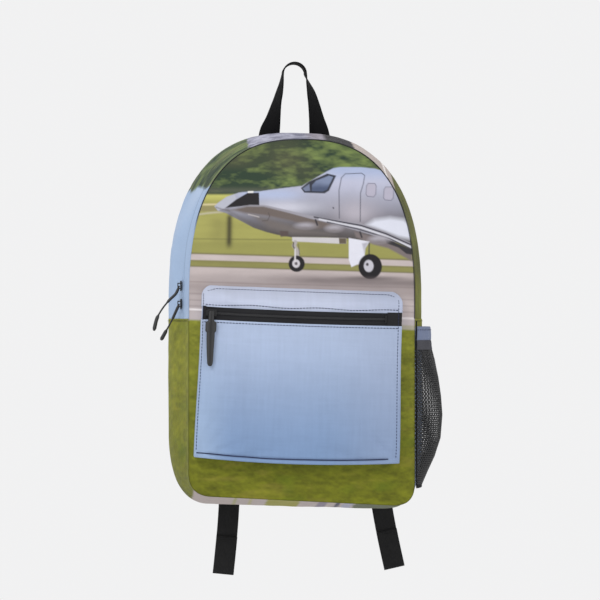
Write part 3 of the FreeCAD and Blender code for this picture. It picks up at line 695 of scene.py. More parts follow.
def stitches(name, path, out, body, length=2.6, gap=1.0, radius=0.34):
    """A row of thread stitches along a path that lies on the cloth. out points away from the cloth."""
    path = np.asarray(path, float)
    run = np.concatenate([[0], np.cumsum(np.linalg.norm(np.diff(path, axis=0), axis=1))])
    starts = np.arange(0, run[-1] - length, length + gap)
    out = np.asarray(out, float)
    verts, faces = [], []
    for d in starts:
        steps = np.linspace(d, d + length, 5)
        p = np.stack([np.interp(steps, run, path[:, k]) for k in range(3)], -1)
        side = unit(np.cross(unit(p[-1] - p[0]), out))
        base = len(verts)
        for k, swell in enumerate((0.25, 0.9, 1.0, 0.9, 0.25)):
            for a in range(6):
                t = math.pi * a / 3
                verts.append(p[k] + radius * swell * (side * math.cos(t) + out * (math.sin(t) + 0.2)))
        for k in range(4):
            for a in range(6):
                b = (a + 1) % 6
                faces.append((base + k * 6 + a, base + k * 6 + b, base + k * 6 + 6 + b, base + k * 6 + 6 + a))
    return finish_mesh(name, verts, faces, body)


# ---------------------------------------------------------------- materials


class Nodes:
    """Short way to build a node material."""

    def __init__(self, name):
        self.material = bpy.data.materials.new(name)
        self.material.use_nodes = True
        self.tree = self.material.node_tree
        self.shader = self.tree.nodes["Principled BSDF"]

    def add(self, kind, **values):
        node = self.tree.nodes.new(kind)
        for key, value in values.items():
            if hasattr(node, key):
                setattr(node, key, value)
            else:
                node.inputs[key.replace("_", " ")].default_value = value
        return node

    def link(self, a, b):
        self.tree.links.new(a, b)

    def set(self, **values):
        for key, value in values.items():
            self.shader.inputs[key.replace("_", " ")].default_value = value

    def colour_of(self, base, spread=0.12, scale=30.0):
        """Base colour, or the painted print, with soft uneven patches."""
        if base is None:
            source = self.add("ShaderNodeAttribute", attribute_name="print").outputs["Color"]
        else:
            node = self.add("ShaderNodeRGB")
            node.outputs[0].default_value = (*base, 1)
            source = node.outputs[0]
        cloud = self.add("ShaderNodeTexNoise", Scale=scale, Detail=4.0, Roughness=0.6)
        self.link(self.place(), cloud.inputs["Vector"])
        level = self.add("ShaderNodeMapRange")
        level.inputs["To Min"].default_value = 1 - spread
        level.inputs["To Max"].default_value = 1 + spread
        self.link(cloud.outputs["Fac"], level.inputs["Value"])
        scaled = self.add("ShaderNodeVectorMath", operation="SCALE")
        self.link(source, scaled.inputs[0])
        self.link(level.outputs[0], scaled.inputs["Scale"])
        self.link(scaled.outputs[0], self.shader.inputs["Base Color"])
        return scaled

    def place(self):
        return self.add("ShaderNodeTexCoord").outputs["Object"]

    def waves(self, direction, period, source=None):
        """Ridges of one period in metres, from 0 to 1."""
        wave = self.add(
            "ShaderNodeTexWave", wave_type="BANDS", bands_direction=direction,
            Scale=2 * math.pi / (20 * period),
        )
        wave.inputs["Distortion"].default_value = 0.0
        self.link(source or self.place(), wave.inputs["Vector"])
        return wave.outputs["Fac"]

    def mix(self, a, b, operation="ADD"):
        node = self.add("ShaderNodeMath", operation=operation)
        for socket, value in zip(node.inputs, (a, b)):
            if isinstance(value, (int, float)):
                socket.default_value = value
            else:
                self.link(value, socket)
        return node.outputs[0]

    def bump(self, height, distance, strength=1.0):
        node = self.add("ShaderNodeBump", Strength=strength, Distance=distance)
        self.link(height, node.inputs["Height"])
        self.link(node.outputs[0], self.shader.inputs["Normal"])


def cloth(
    name, base=None, period=0.0009, rough=0.78, spread=0.07, depth=0.00012, sheen=0.05, scale=26.0,
    flat=True,
):
    """Woven cloth: threads both ways, slubs and soft creases. flat cloth has its weave in its UVs."""
    n = Nodes(name)
    n.colour_of(base, spread, scale)
    if flat:
        uv = n.add("ShaderNodeTexCoord").outputs["UV"]
        warp, weft = n.waves("X", period, uv), n.waves("Y", period, uv)
    else:
        warp, weft = n.mix(n.waves("X", period), n.waves("Y", period), "ADD"), n.waves("Z", period)
    slub = n.add("ShaderNodeTexNoise", Scale=620.0, Detail=2.0)
    n.link(n.place(), slub.inputs["Vector"])
    soft = n.add("ShaderNodeTexNoise", Scale=42.0, Detail=3.0, Roughness=0.55)
    n.link(n.place(), soft.inputs["Vector"])
    threads = n.mix(n.mix(warp, weft, "MULTIPLY"), n.mix(slub.outputs["Fac"], 0.9, "MULTIPLY"))
    n.bump(n.mix(threads, n.mix(soft.outputs["Fac"], 7.0, "MULTIPLY")), depth)
    n.set(Roughness=rough, Sheen_Weight=sheen, Sheen_Roughness=0.5, Specular_IOR_Level=0.25)
    return n.material


def webbing(name, base=(0.009, 0.009, 0.0095), period=0.0016):
    """Woven tape: ribs along its length crossed by fine picks."""
    n = Nodes(name)
    n.colour_of(base, 0.25, 90.0)
    uv = n.add("ShaderNodeTexCoord").outputs["UV"]
    ribs, picks = n.waves("X", period, uv), n.waves("Y", period * 0.8, uv)
    n.bump(n.mix(ribs, picks, "MULTIPLY"), 0.0003)
    n.set(Roughness=0.85, Sheen_Weight=0.0, Specular_IOR_Level=0.12)
    return n.material


def moulded(name, base, rough=0.45, metal=0.0, grain=0.00006, scale=900.0):
    """Plastic, rubber or enamel with a fine grain and slightly uneven gloss."""
    n = Nodes(name)
    n.colour_of(base, 0.10, 60.0)
    fine = n.add("ShaderNodeTexNoise", Scale=scale, Detail=3.0)
    n.link(n.place(), fine.inputs["Vector"])
    n.bump(fine.outputs["Fac"], grain)
    gloss = n.add("ShaderNodeMapRange")
    gloss.inputs["To Min"].default_value = rough - 0.08
    gloss.inputs["To Max"].default_value = rough + 0.10
    n.link(fine.outputs["Fac"], gloss.inputs["Value"])
    n.link(gloss.outputs[0], n.shader.inputs["Roughness"])
    n.set(Metallic=metal)
    return n.material


def coil(name):
    """Nylon zip coil: fine ridges across its run."""
    n = Nodes(name)
    n.colour_of((0.016, 0.016, 0.018), 0.2, 80.0)
    uv = n.add("ShaderNodeTexCoord").outputs["UV"]
    n.bump(n.waves("Y", 0.0013, uv), 0.0006)
    n.set(Roughness=0.42)
    return n.material


PRINT = cloth("printed_polyester", None, 0.0009)
POCKET = cloth("sky_polyester", None, 0.00085, spread=0.04, depth=0.00016)
BLACK = cloth("black_polyester", (0.014, 0.014, 0.016), 0.0011, spread=0.2)
BLACK_TRIM = cloth("black_trim", (0.014, 0.014, 0.016), 0.0011, spread=0.2, flat=False)
LINING = cloth("lining", (0.045, 0.048, 0.055), 0.0007, rough=0.6, spread=0.15, flat=False)
AIR_MESH = cloth("air_mesh", (0.018, 0.018, 0.02), 0.0026, rough=0.85, spread=0.2, depth=0.0007)
SLEEVE_MESH = cloth(
    "sleeve_mesh", (0.022, 0.022, 0.025), 0.0026, rough=0.85, spread=0.2, depth=0.0006, flat=False
)
TAPE = cloth("zip_tape", (0.013, 0.013, 0.015), 0.0007, spread=0.15, flat=False)
BINDING = webbing("binding_tape", (0.012, 0.012, 0.013), 0.0012)
WEBBING = webbing("webbing", (0.016, 0.016, 0.0165))
HANDLE_WEBBING = webbing("handle_webbing", (0.004, 0.004, 0.0045))
ELASTIC = webbing("elastic", tuple(srgb(74, 74, 80)), 0.0018)
COIL = coil("zip_coil")
THREAD = cloth("navy_thread", tuple(srgb(40, 46, 78)), 0.0004, spread=0.1, flat=False)
DARK_THREAD = cloth("black_thread", (0.008, 0.008, 0.009), 0.0004, spread=0.1, flat=False)
ENAMEL = moulded("black_enamel", (0.014, 0.014, 0.015), 0.32, 0.4)
RUBBER = moulded("pull_rubber", (0.018, 0.018, 0.019), 0.5)
ACETAL = moulded("lock_plastic", (0.014, 0.014, 0.015), 0.38)
NET = moulded("net_yarn", (0.016, 0.016, 0.017), 0.6)


def dress(obj, material):
    obj.data.materials.clear()
    obj.data.materials.append(material)
    return obj


def repaint(names, material):
    """Gives CAD nodes that stay a better material."""
    for name in names:
        node = frame["nodes"][name]
        for obj in [node] + list(node.children_recursive):
            if obj.type == "MESH":
                if not obj.data.materials:
                    obj.data.materials.append(material)
                for i in range(len(obj.data.materials)):
                    obj.data.materials[i] = material


# ---------------------------------------------------------------- the shell's cloth


def inside_share(x, z, y=FRONT_Y):
    """0 in the middle of the front panel and 1 on its seam."""
    left, right, top, low_left, low_right = section(y)[:5]
    middle, half = (left + right) / 2, (right - left) / 2
    q = (np.abs(x - middle) / half) ** ARCH_POWER
    up = (np.clip(z - ARCH_FOOT, 0, None) / (top - ARCH_FOOT)) ** ARCH_POWER
    floor = low_left + (low_right - low_left) * (x - left) / (right - left)
    down = np.clip((-470 - z) / (-470 - floor), 0, 1) ** 3
    return np.clip(q + up + down, 0, 1)


def front_depth(x, z):
    """Depth of the front panel: filled out in the middle, pulled in at the seams, with soft waves."""
    fall = 1 - inside_share(x, z) ** 3
    wave = 1.5 * clouds(x, z, 75, 101, 3) + 0.5 * clouds(x, z, 22, 105, 2)
    return FRONT_Y - 1.2 - fall * (3.2 + wave)


def front_rows(z_values, count):
    """Grid over the front panel, row by row, from seam to seam."""
    left, right, top = section(FRONT_Y)[:3]
    middle, half = (left + right) / 2, (right - left) / 2
    rows = []
    for z in z_values:
        up = np.clip((z - ARCH_FOOT) / (top - ARCH_FOOT), 0, 1)
        reach = half * (1 - up**ARCH_POWER) ** (1 / ARCH_POWER)
        rows.append(np.stack([np.linspace(middle - reach, middle + reach, count), np.full(count, z)], -1))
    return np.array(rows)


def low_rows(z_top, count, rows):
    """Grid over the lower front panel. Its rows settle from level to the shape of the bottom seam."""
    path = low_outline(FRONT_Y)
    under = path[np.abs(path[:, 0] - path[0, 0]) > 0.01]
    under = under[np.abs(under[:, 0] - path[-1, 0]) > 0.01]
    x = np.linspace(path[0, 0], path[-1, 0], count)
    ends = [section(FRONT_Y)[3] + section(FRONT_Y)[6], section(FRONT_Y)[4] + section(FRONT_Y)[6]]
    foot = np.interp(
        x, np.concatenate([[x[0]], under[:, 0], [x[-1]]]),
        np.concatenate([[ends[0]], under[:, 1], [ends[1]]]),
    )
    out = []
    for k in np.linspace(0, 1, rows):
        out.append(np.stack([x, z_top + (foot - z_top) * k], -1))
    return np.array(out)


def add_front():
    upper = front_rows(np.concatenate([[-99.55, -99.9], np.arange(-100.5, -276.5, -0.88)]), 290)
    lower = low_rows(upper[-1, 0, 1], 250, 225)
    for name, xz, node in (
        ("front_panel_upper", upper, "flap_panel"), ("front_panel_lower", lower, "front_panel")
    ):
        x, z = xz[..., 0], xz[..., 1]
        points = np.stack([x, front_depth(x, z), z], -1)
        piece = dress(grid(name, points, None, paint_front(x, z)), PRINT)
        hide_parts(node)
        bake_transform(piece)


def push_out(points, amount):
    """Moves a strip's points away from the bag's middle line by amount."""
    middle = np.array([0, 0, -300.0])
    d = points - middle
    d[..., 1] = 0
    d /= np.linalg.norm(d, axis=-1, keepdims=True)
    return points + d * amount[..., None]


def lips(z):
    """Half the gap between the cloth edges over the main zip. It opens at the sliders."""
    return 0.35 + 1.5 * ease((-246 - z) / 14)


def stand(xz, y):
    """Points in space for an outline of x and z at one y."""
    return np.stack([xz[:, 0], np.full(len(xz), y), xz[:, 1]], -1)


def cloth_rows(y0, y1, rows, outline, *more):
    """Points of a cloth that runs from y0 to y1. outline gives its x and z at each y."""
    return np.array([stand(outline(y, *more), y) for y in np.linspace(y0, y1, rows)])


def add_zip_gusset(name, y0, y1, rows, nodes, angles):
    """Strip over the arch on one side of the zip. It is folded into a lip along the zip."""
    front = name == "zip_gusset_front"
    points = cloth_rows(y0, y1, rows, arch_path, angles)
    run = np.broadcast_to(np.linspace(0, 560, points.shape[1]), points.shape[:2])
    x, y, z = points[..., 0], points[..., 1], points[..., 2]
    share = np.broadcast_to(np.linspace(0, 1, rows)[:, None], points.shape[:2])
    soft = np.sin(np.pi * share) ** 0.6
    puff = soft * (0.8 + 0.9 * clouds(run, y, 42, 111, 3) + 0.35 * clouds(run * 2, y * 0.4, 16, 113, 2))
    puff = puff * (1 - 0.7 * ease((x - 70) / 50)) * (1 - 0.8 * hump(y / 16) * (np.abs(x) < 50))
    from_zip = 1 - share if front else share
    points = push_out(points, puff + 0.9 * hump(from_zip / 0.09))
    points[..., 1] += (-1 if front else 1) * lips(z) * hump(from_zip / 0.12)
    colours = paint_gusset(x, y, z, run)
    # Painted shade: a soft dark line where the cloth turns down into the lip beside the zip.
    colours = lay(colours, (40, 44, 52), 0.35 * hump((from_zip * abs(y1 - y0) - 3.0) / 0.5))
    # Painted shadow: the gusset darkens along the front seam over the arch, where it folds over the seam.
    colours = lay(colours, (20, 24, 18), 0.75 * hump((y + 119) / 3.0) * ease((z + 212) / 25))
    piece = dress(grid(name, points, None if front else "shell", colours), PRINT)
    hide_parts(*nodes)
    if front:
        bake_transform(piece)


def add_front_seams(angles):
    """Cord of folded cloth in the seam round the front panel. Its colour is painted shade of the seam's gap:
    near-black over the arch, mostly near-black down the right, and darkened print low on the left and round
    the lower seam.
    """
    top = stand(arch_path(FRONT_Y, angles), FRONT_Y - 1.0)
    low = stand(low_path(FRONT_Y), FRONT_Y - 1.0)
    top = push_out(top, np.full(len(top), 0.2))
    x, y, z = top.T
    # Painted shadow in the seam's gap: near-black over the arch and on the right side, darkened print
    # elsewhere.
    dark = 0.92 * np.maximum(ease((z + 212) / 30), 0.72 * (x > 0))
    local = np.where((x < 0)[:, None], 0.88 * paint_gusset(x, y, z, z), 0.4 * paint_front(x, z))
    shade = np.repeat(lay(local, (26, 28, 30), dark)[:, None], 8, 1)
    piece = sweep("front_seam_upper", top, (0, 1, 0), ring_profile(0.75), None, shade)
    dress(piece, PRINT)
    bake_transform(piece)
    # Painted shade: the lower cord is the front print darkened.
    shade = np.repeat(0.62 * paint_front(low[:, 0], low[:, 2])[:, None], 8, 1)
    piece = sweep("front_seam_lower", low, (0, 1, 0), ring_profile(0.5), "shell", shade)
    dress(piece, PRINT)


def add_low_panels():
    """Side panels and bottom, cut from one long strip at the seams."""
    points = cloth_rows(FRONT_Y - 0.6, 0.0, 44, low_path)
    x, y, z = points[..., 0], points[..., 1], points[..., 2]
    run = np.broadcast_to(np.linspace(0, 640, points.shape[1]), points.shape[:2])
    soft = np.sin(np.pi * np.linspace(0, 1, len(points)))[:, None] ** 0.6
    puff = soft * (0.9 + 1.0 * clouds(run, y, 50, 121, 3) + 0.4 * clouds(run, y, 17, 123, 2))
    colours = paint_low(x, y, z)
    points = push_out(points, puff)
    for name, take, node, slot in (
        ("side_left", slice(0, 62), "side_panel_left", "side_print"),
        ("side_right", slice(-62, None), "side_panel_right", "side_print"),
        ("bottom", slice(61, -61), "bottom_panel", "bottom_print"),
    ):
        piece = dress(grid(name, points[:, take], "shell", colours[:, take]), PRINT)
        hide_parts(node)


def add_gussets():
    """All the cloth between the front panel and the back."""
    angles = arch_angles(250)
    front_nodes = ("flap_gusset", "front_gusset_ends")
    add_zip_gusset("zip_gusset_front", FRONT_Y - 0.6, ZIP_Y, 20, front_nodes, angles)
    add_zip_gusset("zip_gusset_rear", ZIP_Y, 0.0, 44, ("rear_gusset",), angles)
    add_front_seams(angles)
    add_low_panels()

    # Stitching where the zip gusset ends and the side panels begin.
    for side, tag in ((0, "left"), (-1, "right")):
        ys = np.linspace(FRONT_Y + 4, -6, 60)
        path = np.array([[arch_path(v, angles)[side, 0], v, ZIP_END_Z - 2.5] for v in ys])
        path = push_out(path, np.full(len(path), 1.5))
        way = (-1, 0, 0) if side == 0 else (1, 0, 0)
        dress(stitches("side_stitch_" + tag, path, way, "shell"), DARK_THREAD)


# ---------------------------------------------------------------- front pocket


def profile(points, radius, step):
    """Even points along a bent line with rounded corners."""
    p = np.array(points, float)
    run = np.concatenate([[0], np.cumsum(np.linalg.norm(np.diff(p, axis=0), axis=1))])
    fine = np.arange(0, run[-1], 0.5)
    dense = np.stack([np.interp(fine, run, p[:, k]) for k in range(2)], -1)
    width = max(1, int(radius / 0.5))
    kernel = np.hanning(2 * width + 1)
    kernel /= kernel.sum()
    padded = np.concatenate([np.repeat(dense[:1], width, 0), dense, np.repeat(dense[-1:], width, 0)])
    rounded = np.stack([np.convolve(padded[:, k], kernel, "valid") for k in range(2)], -1)
    keep = np.arange(0, len(rounded), max(1, int(step / 0.5)))
    return rounded[np.unique(np.append(keep, len(rounded) - 1))]


def pocket_surface(x, z, depth, lift=0.0):
    """Pocket point from upright coordinates: x across, z up, depth 0 at its root and 1 at its face."""
    sag = 4.5 * (1 - (x / POCKET_HALF) ** 2) * ease((-330 - z) / 130)
    slack = 1.6 * (1 - (x / POCKET_HALF) ** 2) * hump((z + 303) / 16)
    flare = 1 + 0.022 * ease((-330 - z) / 130)
    q = 1 - np.abs(x / POCKET_HALF) ** 4
    q = q * ease((z - POCKET_BOTTOM) / 40) * ease((-310 - z) / 60)
    puff = 4.0 * q + 1.1 * clouds(x, z, 46, 131, 3) * ease((POCKET_HALF - np.abs(x)) / 20)
    for cx, cz, way in (
        (-100, -455, 0.9), (98, -452, -0.8), (-60, -462, 0.3), (70, -462, -0.3), (-92, -460, 0.45),
        (-104, -446, 1.2),
    ):
        u = (x - cx) * math.cos(way) + (z - cz) * math.sin(way)
        v = -(x - cx) * math.sin(way) + (z - cz) * math.cos(way)
        puff = puff - 1.7 * np.exp(-((v / 4.5) ** 2) - ((u / 30) ** 2))
    puff = puff - 1.5 * hump((z - POCKET_BOTTOM - 5.5) / 1.8) * ease((POCKET_HALF - 8 - np.abs(x)) / 8)
    top = ease((z + 296) / 4)
    fold = 2.3 * np.sin(x / 8.0 + 0.16 * (z + 280)) * ease((np.abs(x) - 55) / 34)
    fold = fold + 1.5 * clouds(x, z * 2, 22, 135, 3)
    puff = puff + top * (fold + 2.4 * hump((z + 284) / 7))
    y = POCKET_BACK - POCKET_DEPTH * depth - puff * depth - lift
    px, pz = x * flare, z - sag - slack
    mid = (POCKET_TOP + POCKET_BOTTOM) / 2
    c, s = math.cos(POCKET_ROLL), math.sin(POCKET_ROLL)
    return np.stack([POCKET_X + px * c + (pz - mid) * s, y, mid - px * s + (pz - mid) * c], -1)


def pocket_half(z):
    """Half-width of the pocket: its upper corners are rounded off."""
    t = np.clip((z - (POCKET_TOP - 13)) / 13, 0, 1)
    return POCKET_HALF - 13 * (1 - np.sqrt(1 - 0.96 * t**2))


def pocket_depth_at(z):
    """How far the pocket stands out at a height, where its top slopes."""
    t = np.clip((POCKET_TOP - z) / (POCKET_TOP - POCKET_ZIP[0]), 0, 1)
    return 0.06 + 0.94 * np.sin(0.5 * np.pi * t) ** 0.8


def add_pocket():
    """Front pocket: a sloping top and a face, with its zip and stitching."""
    across = profile(
        [(-POCKET_HALF, 0.0), (-POCKET_HALF, 26.0), (POCKET_HALF, 26.0), (POCKET_HALF, 0.0)], 4.0, 1.5
    )
    u, du = across[:, 0] / POCKET_HALF, np.clip(across[:, 1] / 26.0, 0, 1)

    # Sloping strip above the zip.
    z = np.linspace(POCKET_TOP, POCKET_ZIP[0], 40)
    z2, u2 = np.meshgrid(z, u, indexing="ij")
    x2 = u2 * pocket_half(z2)
    depth = np.minimum(pocket_depth_at(z2), 1) * np.broadcast_to(du, x2.shape) ** 0.7
    hem = ease((z2 - POCKET_ZIP[0]) / 1.6)
    points = pocket_surface(x2, z2, depth, 0.8 * hem * (depth > 0.5))
    top = dress(grid("pocket_top_strip", points, "shell", paint_pocket(x2, z2)), POCKET)
    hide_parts("pocket_top")

    # Face, wrapped round its sides and under its bottom.
    foot = profile([(POCKET_ZIP[1], 26.0), (POCKET_BOTTOM, 26.0), (POCKET_BOTTOM, 0.0)], 4.0, 1.5)
    z2, u2 = np.meshgrid(foot[:, 0], u, indexing="ij")
    d2 = np.clip(foot[:, 1] / 26.0, 0, 1)[:, None] * du[None, :]
    x2 = u2 * POCKET_HALF
    shade = paint_pocket(x2, z2)
    points = pocket_surface(x2, z2, d2, 0.8 * ease((POCKET_ZIP[1] - z2) / 1.5) * (d2 > 0.5))
    face = dress(grid("pocket_front", points, "shell", shade), POCKET)
    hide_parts("pocket_face", "pocket_gusset")
    add_pocket_zip()
    add_pocket_stitches()


def add_pocket_zip():
    """Zip tape and coil, the walls that close the pocket's sides at the zip, and the tabs at its ends."""
    x = np.linspace(-POCKET_HALF + 1.5, POCKET_HALF - 1.5, 160)
    rows = []
    for z0 in np.linspace(POCKET_ZIP[0] + 1.0, POCKET_ZIP[1] - 1.0, 12):
        rows.append(pocket_surface(x, np.full_like(x, z0), np.full_like(x, 0.985)))
    tape = dress(grid("pocket_zip_tape", np.array(rows), "shell"), TAPE)
    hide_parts("pocket_zip_tapes", "pocket_zip_tabs")
    for side, tag in ((-1, "left"), (1, "right")):
        heights = np.linspace(POCKET_ZIP[0] + 2.5, POCKET_ZIP[1] - 2.5, 12)
        z2, d2 = np.meshgrid(heights, np.linspace(0, 0.97, 20), indexing="ij")
        x2 = np.full_like(z2, side * (POCKET_HALF - 0.9))
        wall = dress(
            grid("pocket_wall_" + tag, pocket_surface(x2, z2, d2), "shell", paint_pocket(x2, z2)),
            POCKET,
        )
    mid = (POCKET_ZIP[0] + POCKET_ZIP[1]) / 2
    x = np.linspace(-POCKET_HALF + 5, POCKET_HALF - 18, 220)
    path = pocket_surface(x, np.full_like(x, mid), np.full_like(x, 1.0), 0.2)
    row = sweep("pocket_zip_row", path, (0, 0, 1), strip_profile(3.0, 1.1, 0.3, 6), "shell")
    dress(row, COIL)
    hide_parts("pocket_zip_coil")
    for name, x0, x1 in (
        ("left", -POCKET_HALF + 1.2, -POCKET_HALF + 5), ("right", POCKET_HALF - 17.5, POCKET_HALF - 0.6)
    ):
        x = np.linspace(x0, x1, 14)
        tab = []
        for z0 in np.linspace(POCKET_ZIP[0] + 0.8, POCKET_ZIP[1] - 0.6, 14):
            tab.append(pocket_surface(x, np.full_like(x, z0), np.full_like(x, 1.0), 0.5))
        dress(grid("pocket_zip_tab_" + name, np.array(tab), "shell"), TAPE)
    x = np.full(8, POCKET_HALF - 19.0)
    bar = pocket_surface(x, np.linspace(mid + 4.5, mid - 4.5, 8), np.full(8, 1.0), 0.9)
    piece = sweep("pocket_zip_stop", bar, (1, 0, 0), strip_profile(1.8, 1.2, 0.2, 5), "shell")
    dress(piece, ENAMEL)


def add_pocket_stitches():
    """Topstitching in navy thread, and the seam along the pocket's foot."""

    def run(name, xs, zs, lift=0.5):
        xs, zs = np.asarray(xs, float), np.asarray(zs, float)
        depth = np.where(zs > POCKET_ZIP[0], pocket_depth_at(zs), 1.0)
        path = pocket_surface(xs, zs, depth, lift)
        dress(stitches(name, path, (0, -1, 0), "shell", 2.8, 0.8, 0.45), THREAD)

    wide = np.linspace(-1, 1, 120)
    top_z = POCKET_TOP - 4.0 - 3.0 * ease((np.abs(wide) - 0.9) / 0.1)
    run("stitch_top", wide * (POCKET_HALF - 6), top_z)
    run("stitch_above_zip", wide * (POCKET_HALF - 4), POCKET_ZIP[0] + 3.0 + 0.8 * np.sin(wide * 9), 1.2)
    run("stitch_below_zip", wide * (POCKET_HALF - 3), np.full(120, POCKET_ZIP[1] - 3.4), 1.0)
    down = np.linspace(0, 1, 120)
    for side, tag in ((-1, "left"), (1, "right")):
        run(
            "stitch_side_" + tag, np.full(120, side * (POCKET_HALF - 1.5) - 3.0 * (side > 0)),
            -281 + (POCKET_BOTTOM + 281 + 6) * down, 0.7,
        )
    x = np.linspace(-POCKET_HALF + 2, POCKET_HALF - 13, 160)
    z = POCKET_BOTTOM + 5.5 + 0.6 * clouds(x, 0 * x, 40, 145, 2)
    path = pocket_surface(x, z, np.ones_like(x), 1.0)
    dress(sweep("pocket_foot_seam", path, (0, 0, 1), ring_profile(0.6), "shell"), THREAD)


# ---------------------------------------------------------------- handle, straps and tails


# The round of the handle over the hook.
LOOP_RADIUS = 13.8
LOOP_Z = -13.0


def add_handle():
    """Loop of webbing that turns a quarter turn on each side on its way over the hook."""
    right = [
        (31.2, -88.5, 0), (30, -79, 18), (27.5, -66, 38), (24, -48, 53), (20.5, -34, 63),
        (16.5, -22, 78),
    ]
    left = [
        (-30.2, -88.5, 0), (-28.5, -79, 22), (-25, -66, 48), (-21, -48, 67), (-17.5, -34, 75),
        (-15, -22, 84),
    ]
    stations = [(x, z, math.radians(t)) for x, z, t in right]
    for a in range(0, 181, 20):
        t = math.radians(a)
        stations.append((LOOP_RADIUS * math.cos(t), LOOP_Z + LOOP_RADIUS * math.sin(t), math.pi / 2))
    stations += [(x, z, math.radians(t)) for x, z, t in left[::-1]]
    flat = np.array([(x, 4.0 * min(1, max(0, (LOOP_Z - z) / 50)), z, t) for x, z, t in stations])
    dense = smooth_path(flat, 6)
    path = dense[:, :3]
    ahead = unit(np.gradient(path, axis=0))
    level = np.stack([ahead[:, 2], 0 * ahead[:, 0], -ahead[:, 0]], -1)
    across = level * np.cos(dense[:, 3:]) + np.array([0, 1.0, 0]) * np.sin(dense[:, 3:])
    piece = sweep("carry_loop", path, across, strip_profile(25.0, 1.6, 0.15), "handle")
    dress(piece, HANDLE_WEBBING)
    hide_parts("carry_handle")


# Zip pulls: slider height, how far out and down each one hangs, and how far it leans back.
PULLS = {
    "upper": (-268.0, [(0, 0), (4, 9), (12, 17), (20, 27), (26, 38), (29.5, 52)], -5.5),
    "lower": (-289.0, [(0, 0), (4, 9), (9, 20), (15, 31), (21, 42)], 5.5),
}


def add_pulls():
    """Cord pulls of the main zip: a grip sleeve, a bare cord, and a moulded tip."""
    for name, (top, hang, lean) in PULLS.items():
        steps = len(hang) - 1
        pts = [(-140.45 - out, -88 + lean * i / steps, top - down) for i, (out, down) in enumerate(hang)]
        path = smooth_path(pts, 14)
        t = np.linspace(0, 1, len(path))
        radius = np.interp(
            t, [0, 0.04, 0.10, 0.42, 0.46, 0.72, 0.77, 0.96, 1.0],
            [0.9, 1.2, 1.9, 1.8, 1.1, 1.1, 2.3, 2.5, 1.3],
        )
        ring = np.array(ring_profile(1.0, 12))
        piece = dress(
            sweep(
                "pull_cord_" + name, path, (0, 1, 0), ring[None] * radius[:, None, None] * [1.15, 0.9],
                name + "_pull_body",
            ),
            RUBBER,
        )
        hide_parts(name + "_pull")


def add_pocket_pull():
    """Rubber pull of the pocket zip: a loop over the slider's bail, a square shoulder and a long taper."""
    low, high = np.array(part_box("pocket_pull")) / MM
    middle, top, front = (low[0] + high[0]) / 2, high[2], low[1]
    drops = [0, 1.5, 3.0, 11.5, 12.8, 23.0, 24.5, 36, 49, 57, 60, 62, 62.8]
    widths = [4.6, 5.6, 5.8, 6.8, 12.4, 12.6, 9.4, 8.8, 7.6, 6.8, 6.2, 4.4, 2.4]
    thicks = [1.6, 2.0, 2.0, 2.4, 3.0, 3.0, 2.4, 2.2, 2.1, 2.0, 1.9, 1.6, 0.8]
    drop = np.linspace(0, drops[-1], 120)
    sway = 2.0 * np.sin(drop / 40)
    path = np.stack([middle - sway, front + 1.5 - 2.4 * ease(drop / 50), top - drop], -1)
    ring = np.array(strip_profile(1.0, 1.0, 0.0, 8))
    size = np.stack([np.interp(drop, drops, widths), np.interp(drop, drops, thicks)], -1)
    piece = dress(
        sweep("pocket_pull_tongue", path, (1, 0, 0), ring[None] * size[:, None], "pocket_pull_body"),
        RUBBER,
    )
    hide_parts("pocket_pull")


# Where the shoulder straps start, and how far down their pads reach.
STRAP_TOP_X = 43.0
STRAP_TOP_Y = 17.6
STRAP_TOP_Z = -116.0
STRAP_DROP = 308.0

# Each strap: its side, the x of its ladder lock, and where its tail ends in x and z.
STRAPS = {"left": (-1, -76.0, -84.0, -614.0), "right": (1, 98.0, 124.0, -608.0)}


def strap_line(side, foot_x, lift):
    """Middle of a strap from its top seam to its lock, moved out by lift. It bows outwards and back."""
    pts = []
    top_x = side * STRAP_TOP_X
    for t in np.linspace(0, 1, 9):
        bow = math.sin(math.pi * t)
        x = top_x + (foot_x - top_x) * t - side * 9 * bow
        y = STRAP_TOP_Y + 2.4 * t + 11 * max(bow, 0) ** 0.8 + lift
        pts.append((x, y, STRAP_TOP_Z - STRAP_DROP * t))
    return smooth_path(pts, 10)


def tail_point(name, z):
    """Middle of a tail at a height. It hangs in a slight curve."""
    side, foot_x, end_x, end_z = STRAPS[name]
    t = (z - LOCK_Z) / (end_z - LOCK_Z)
    x = foot_x + (end_x - foot_x) * t - side * 3.2 * math.sin(math.pi * t)
    return np.array([x, LOCK_Y + 4.5 + 0.8 * math.sin((z - LOCK_Z) / 30), z])


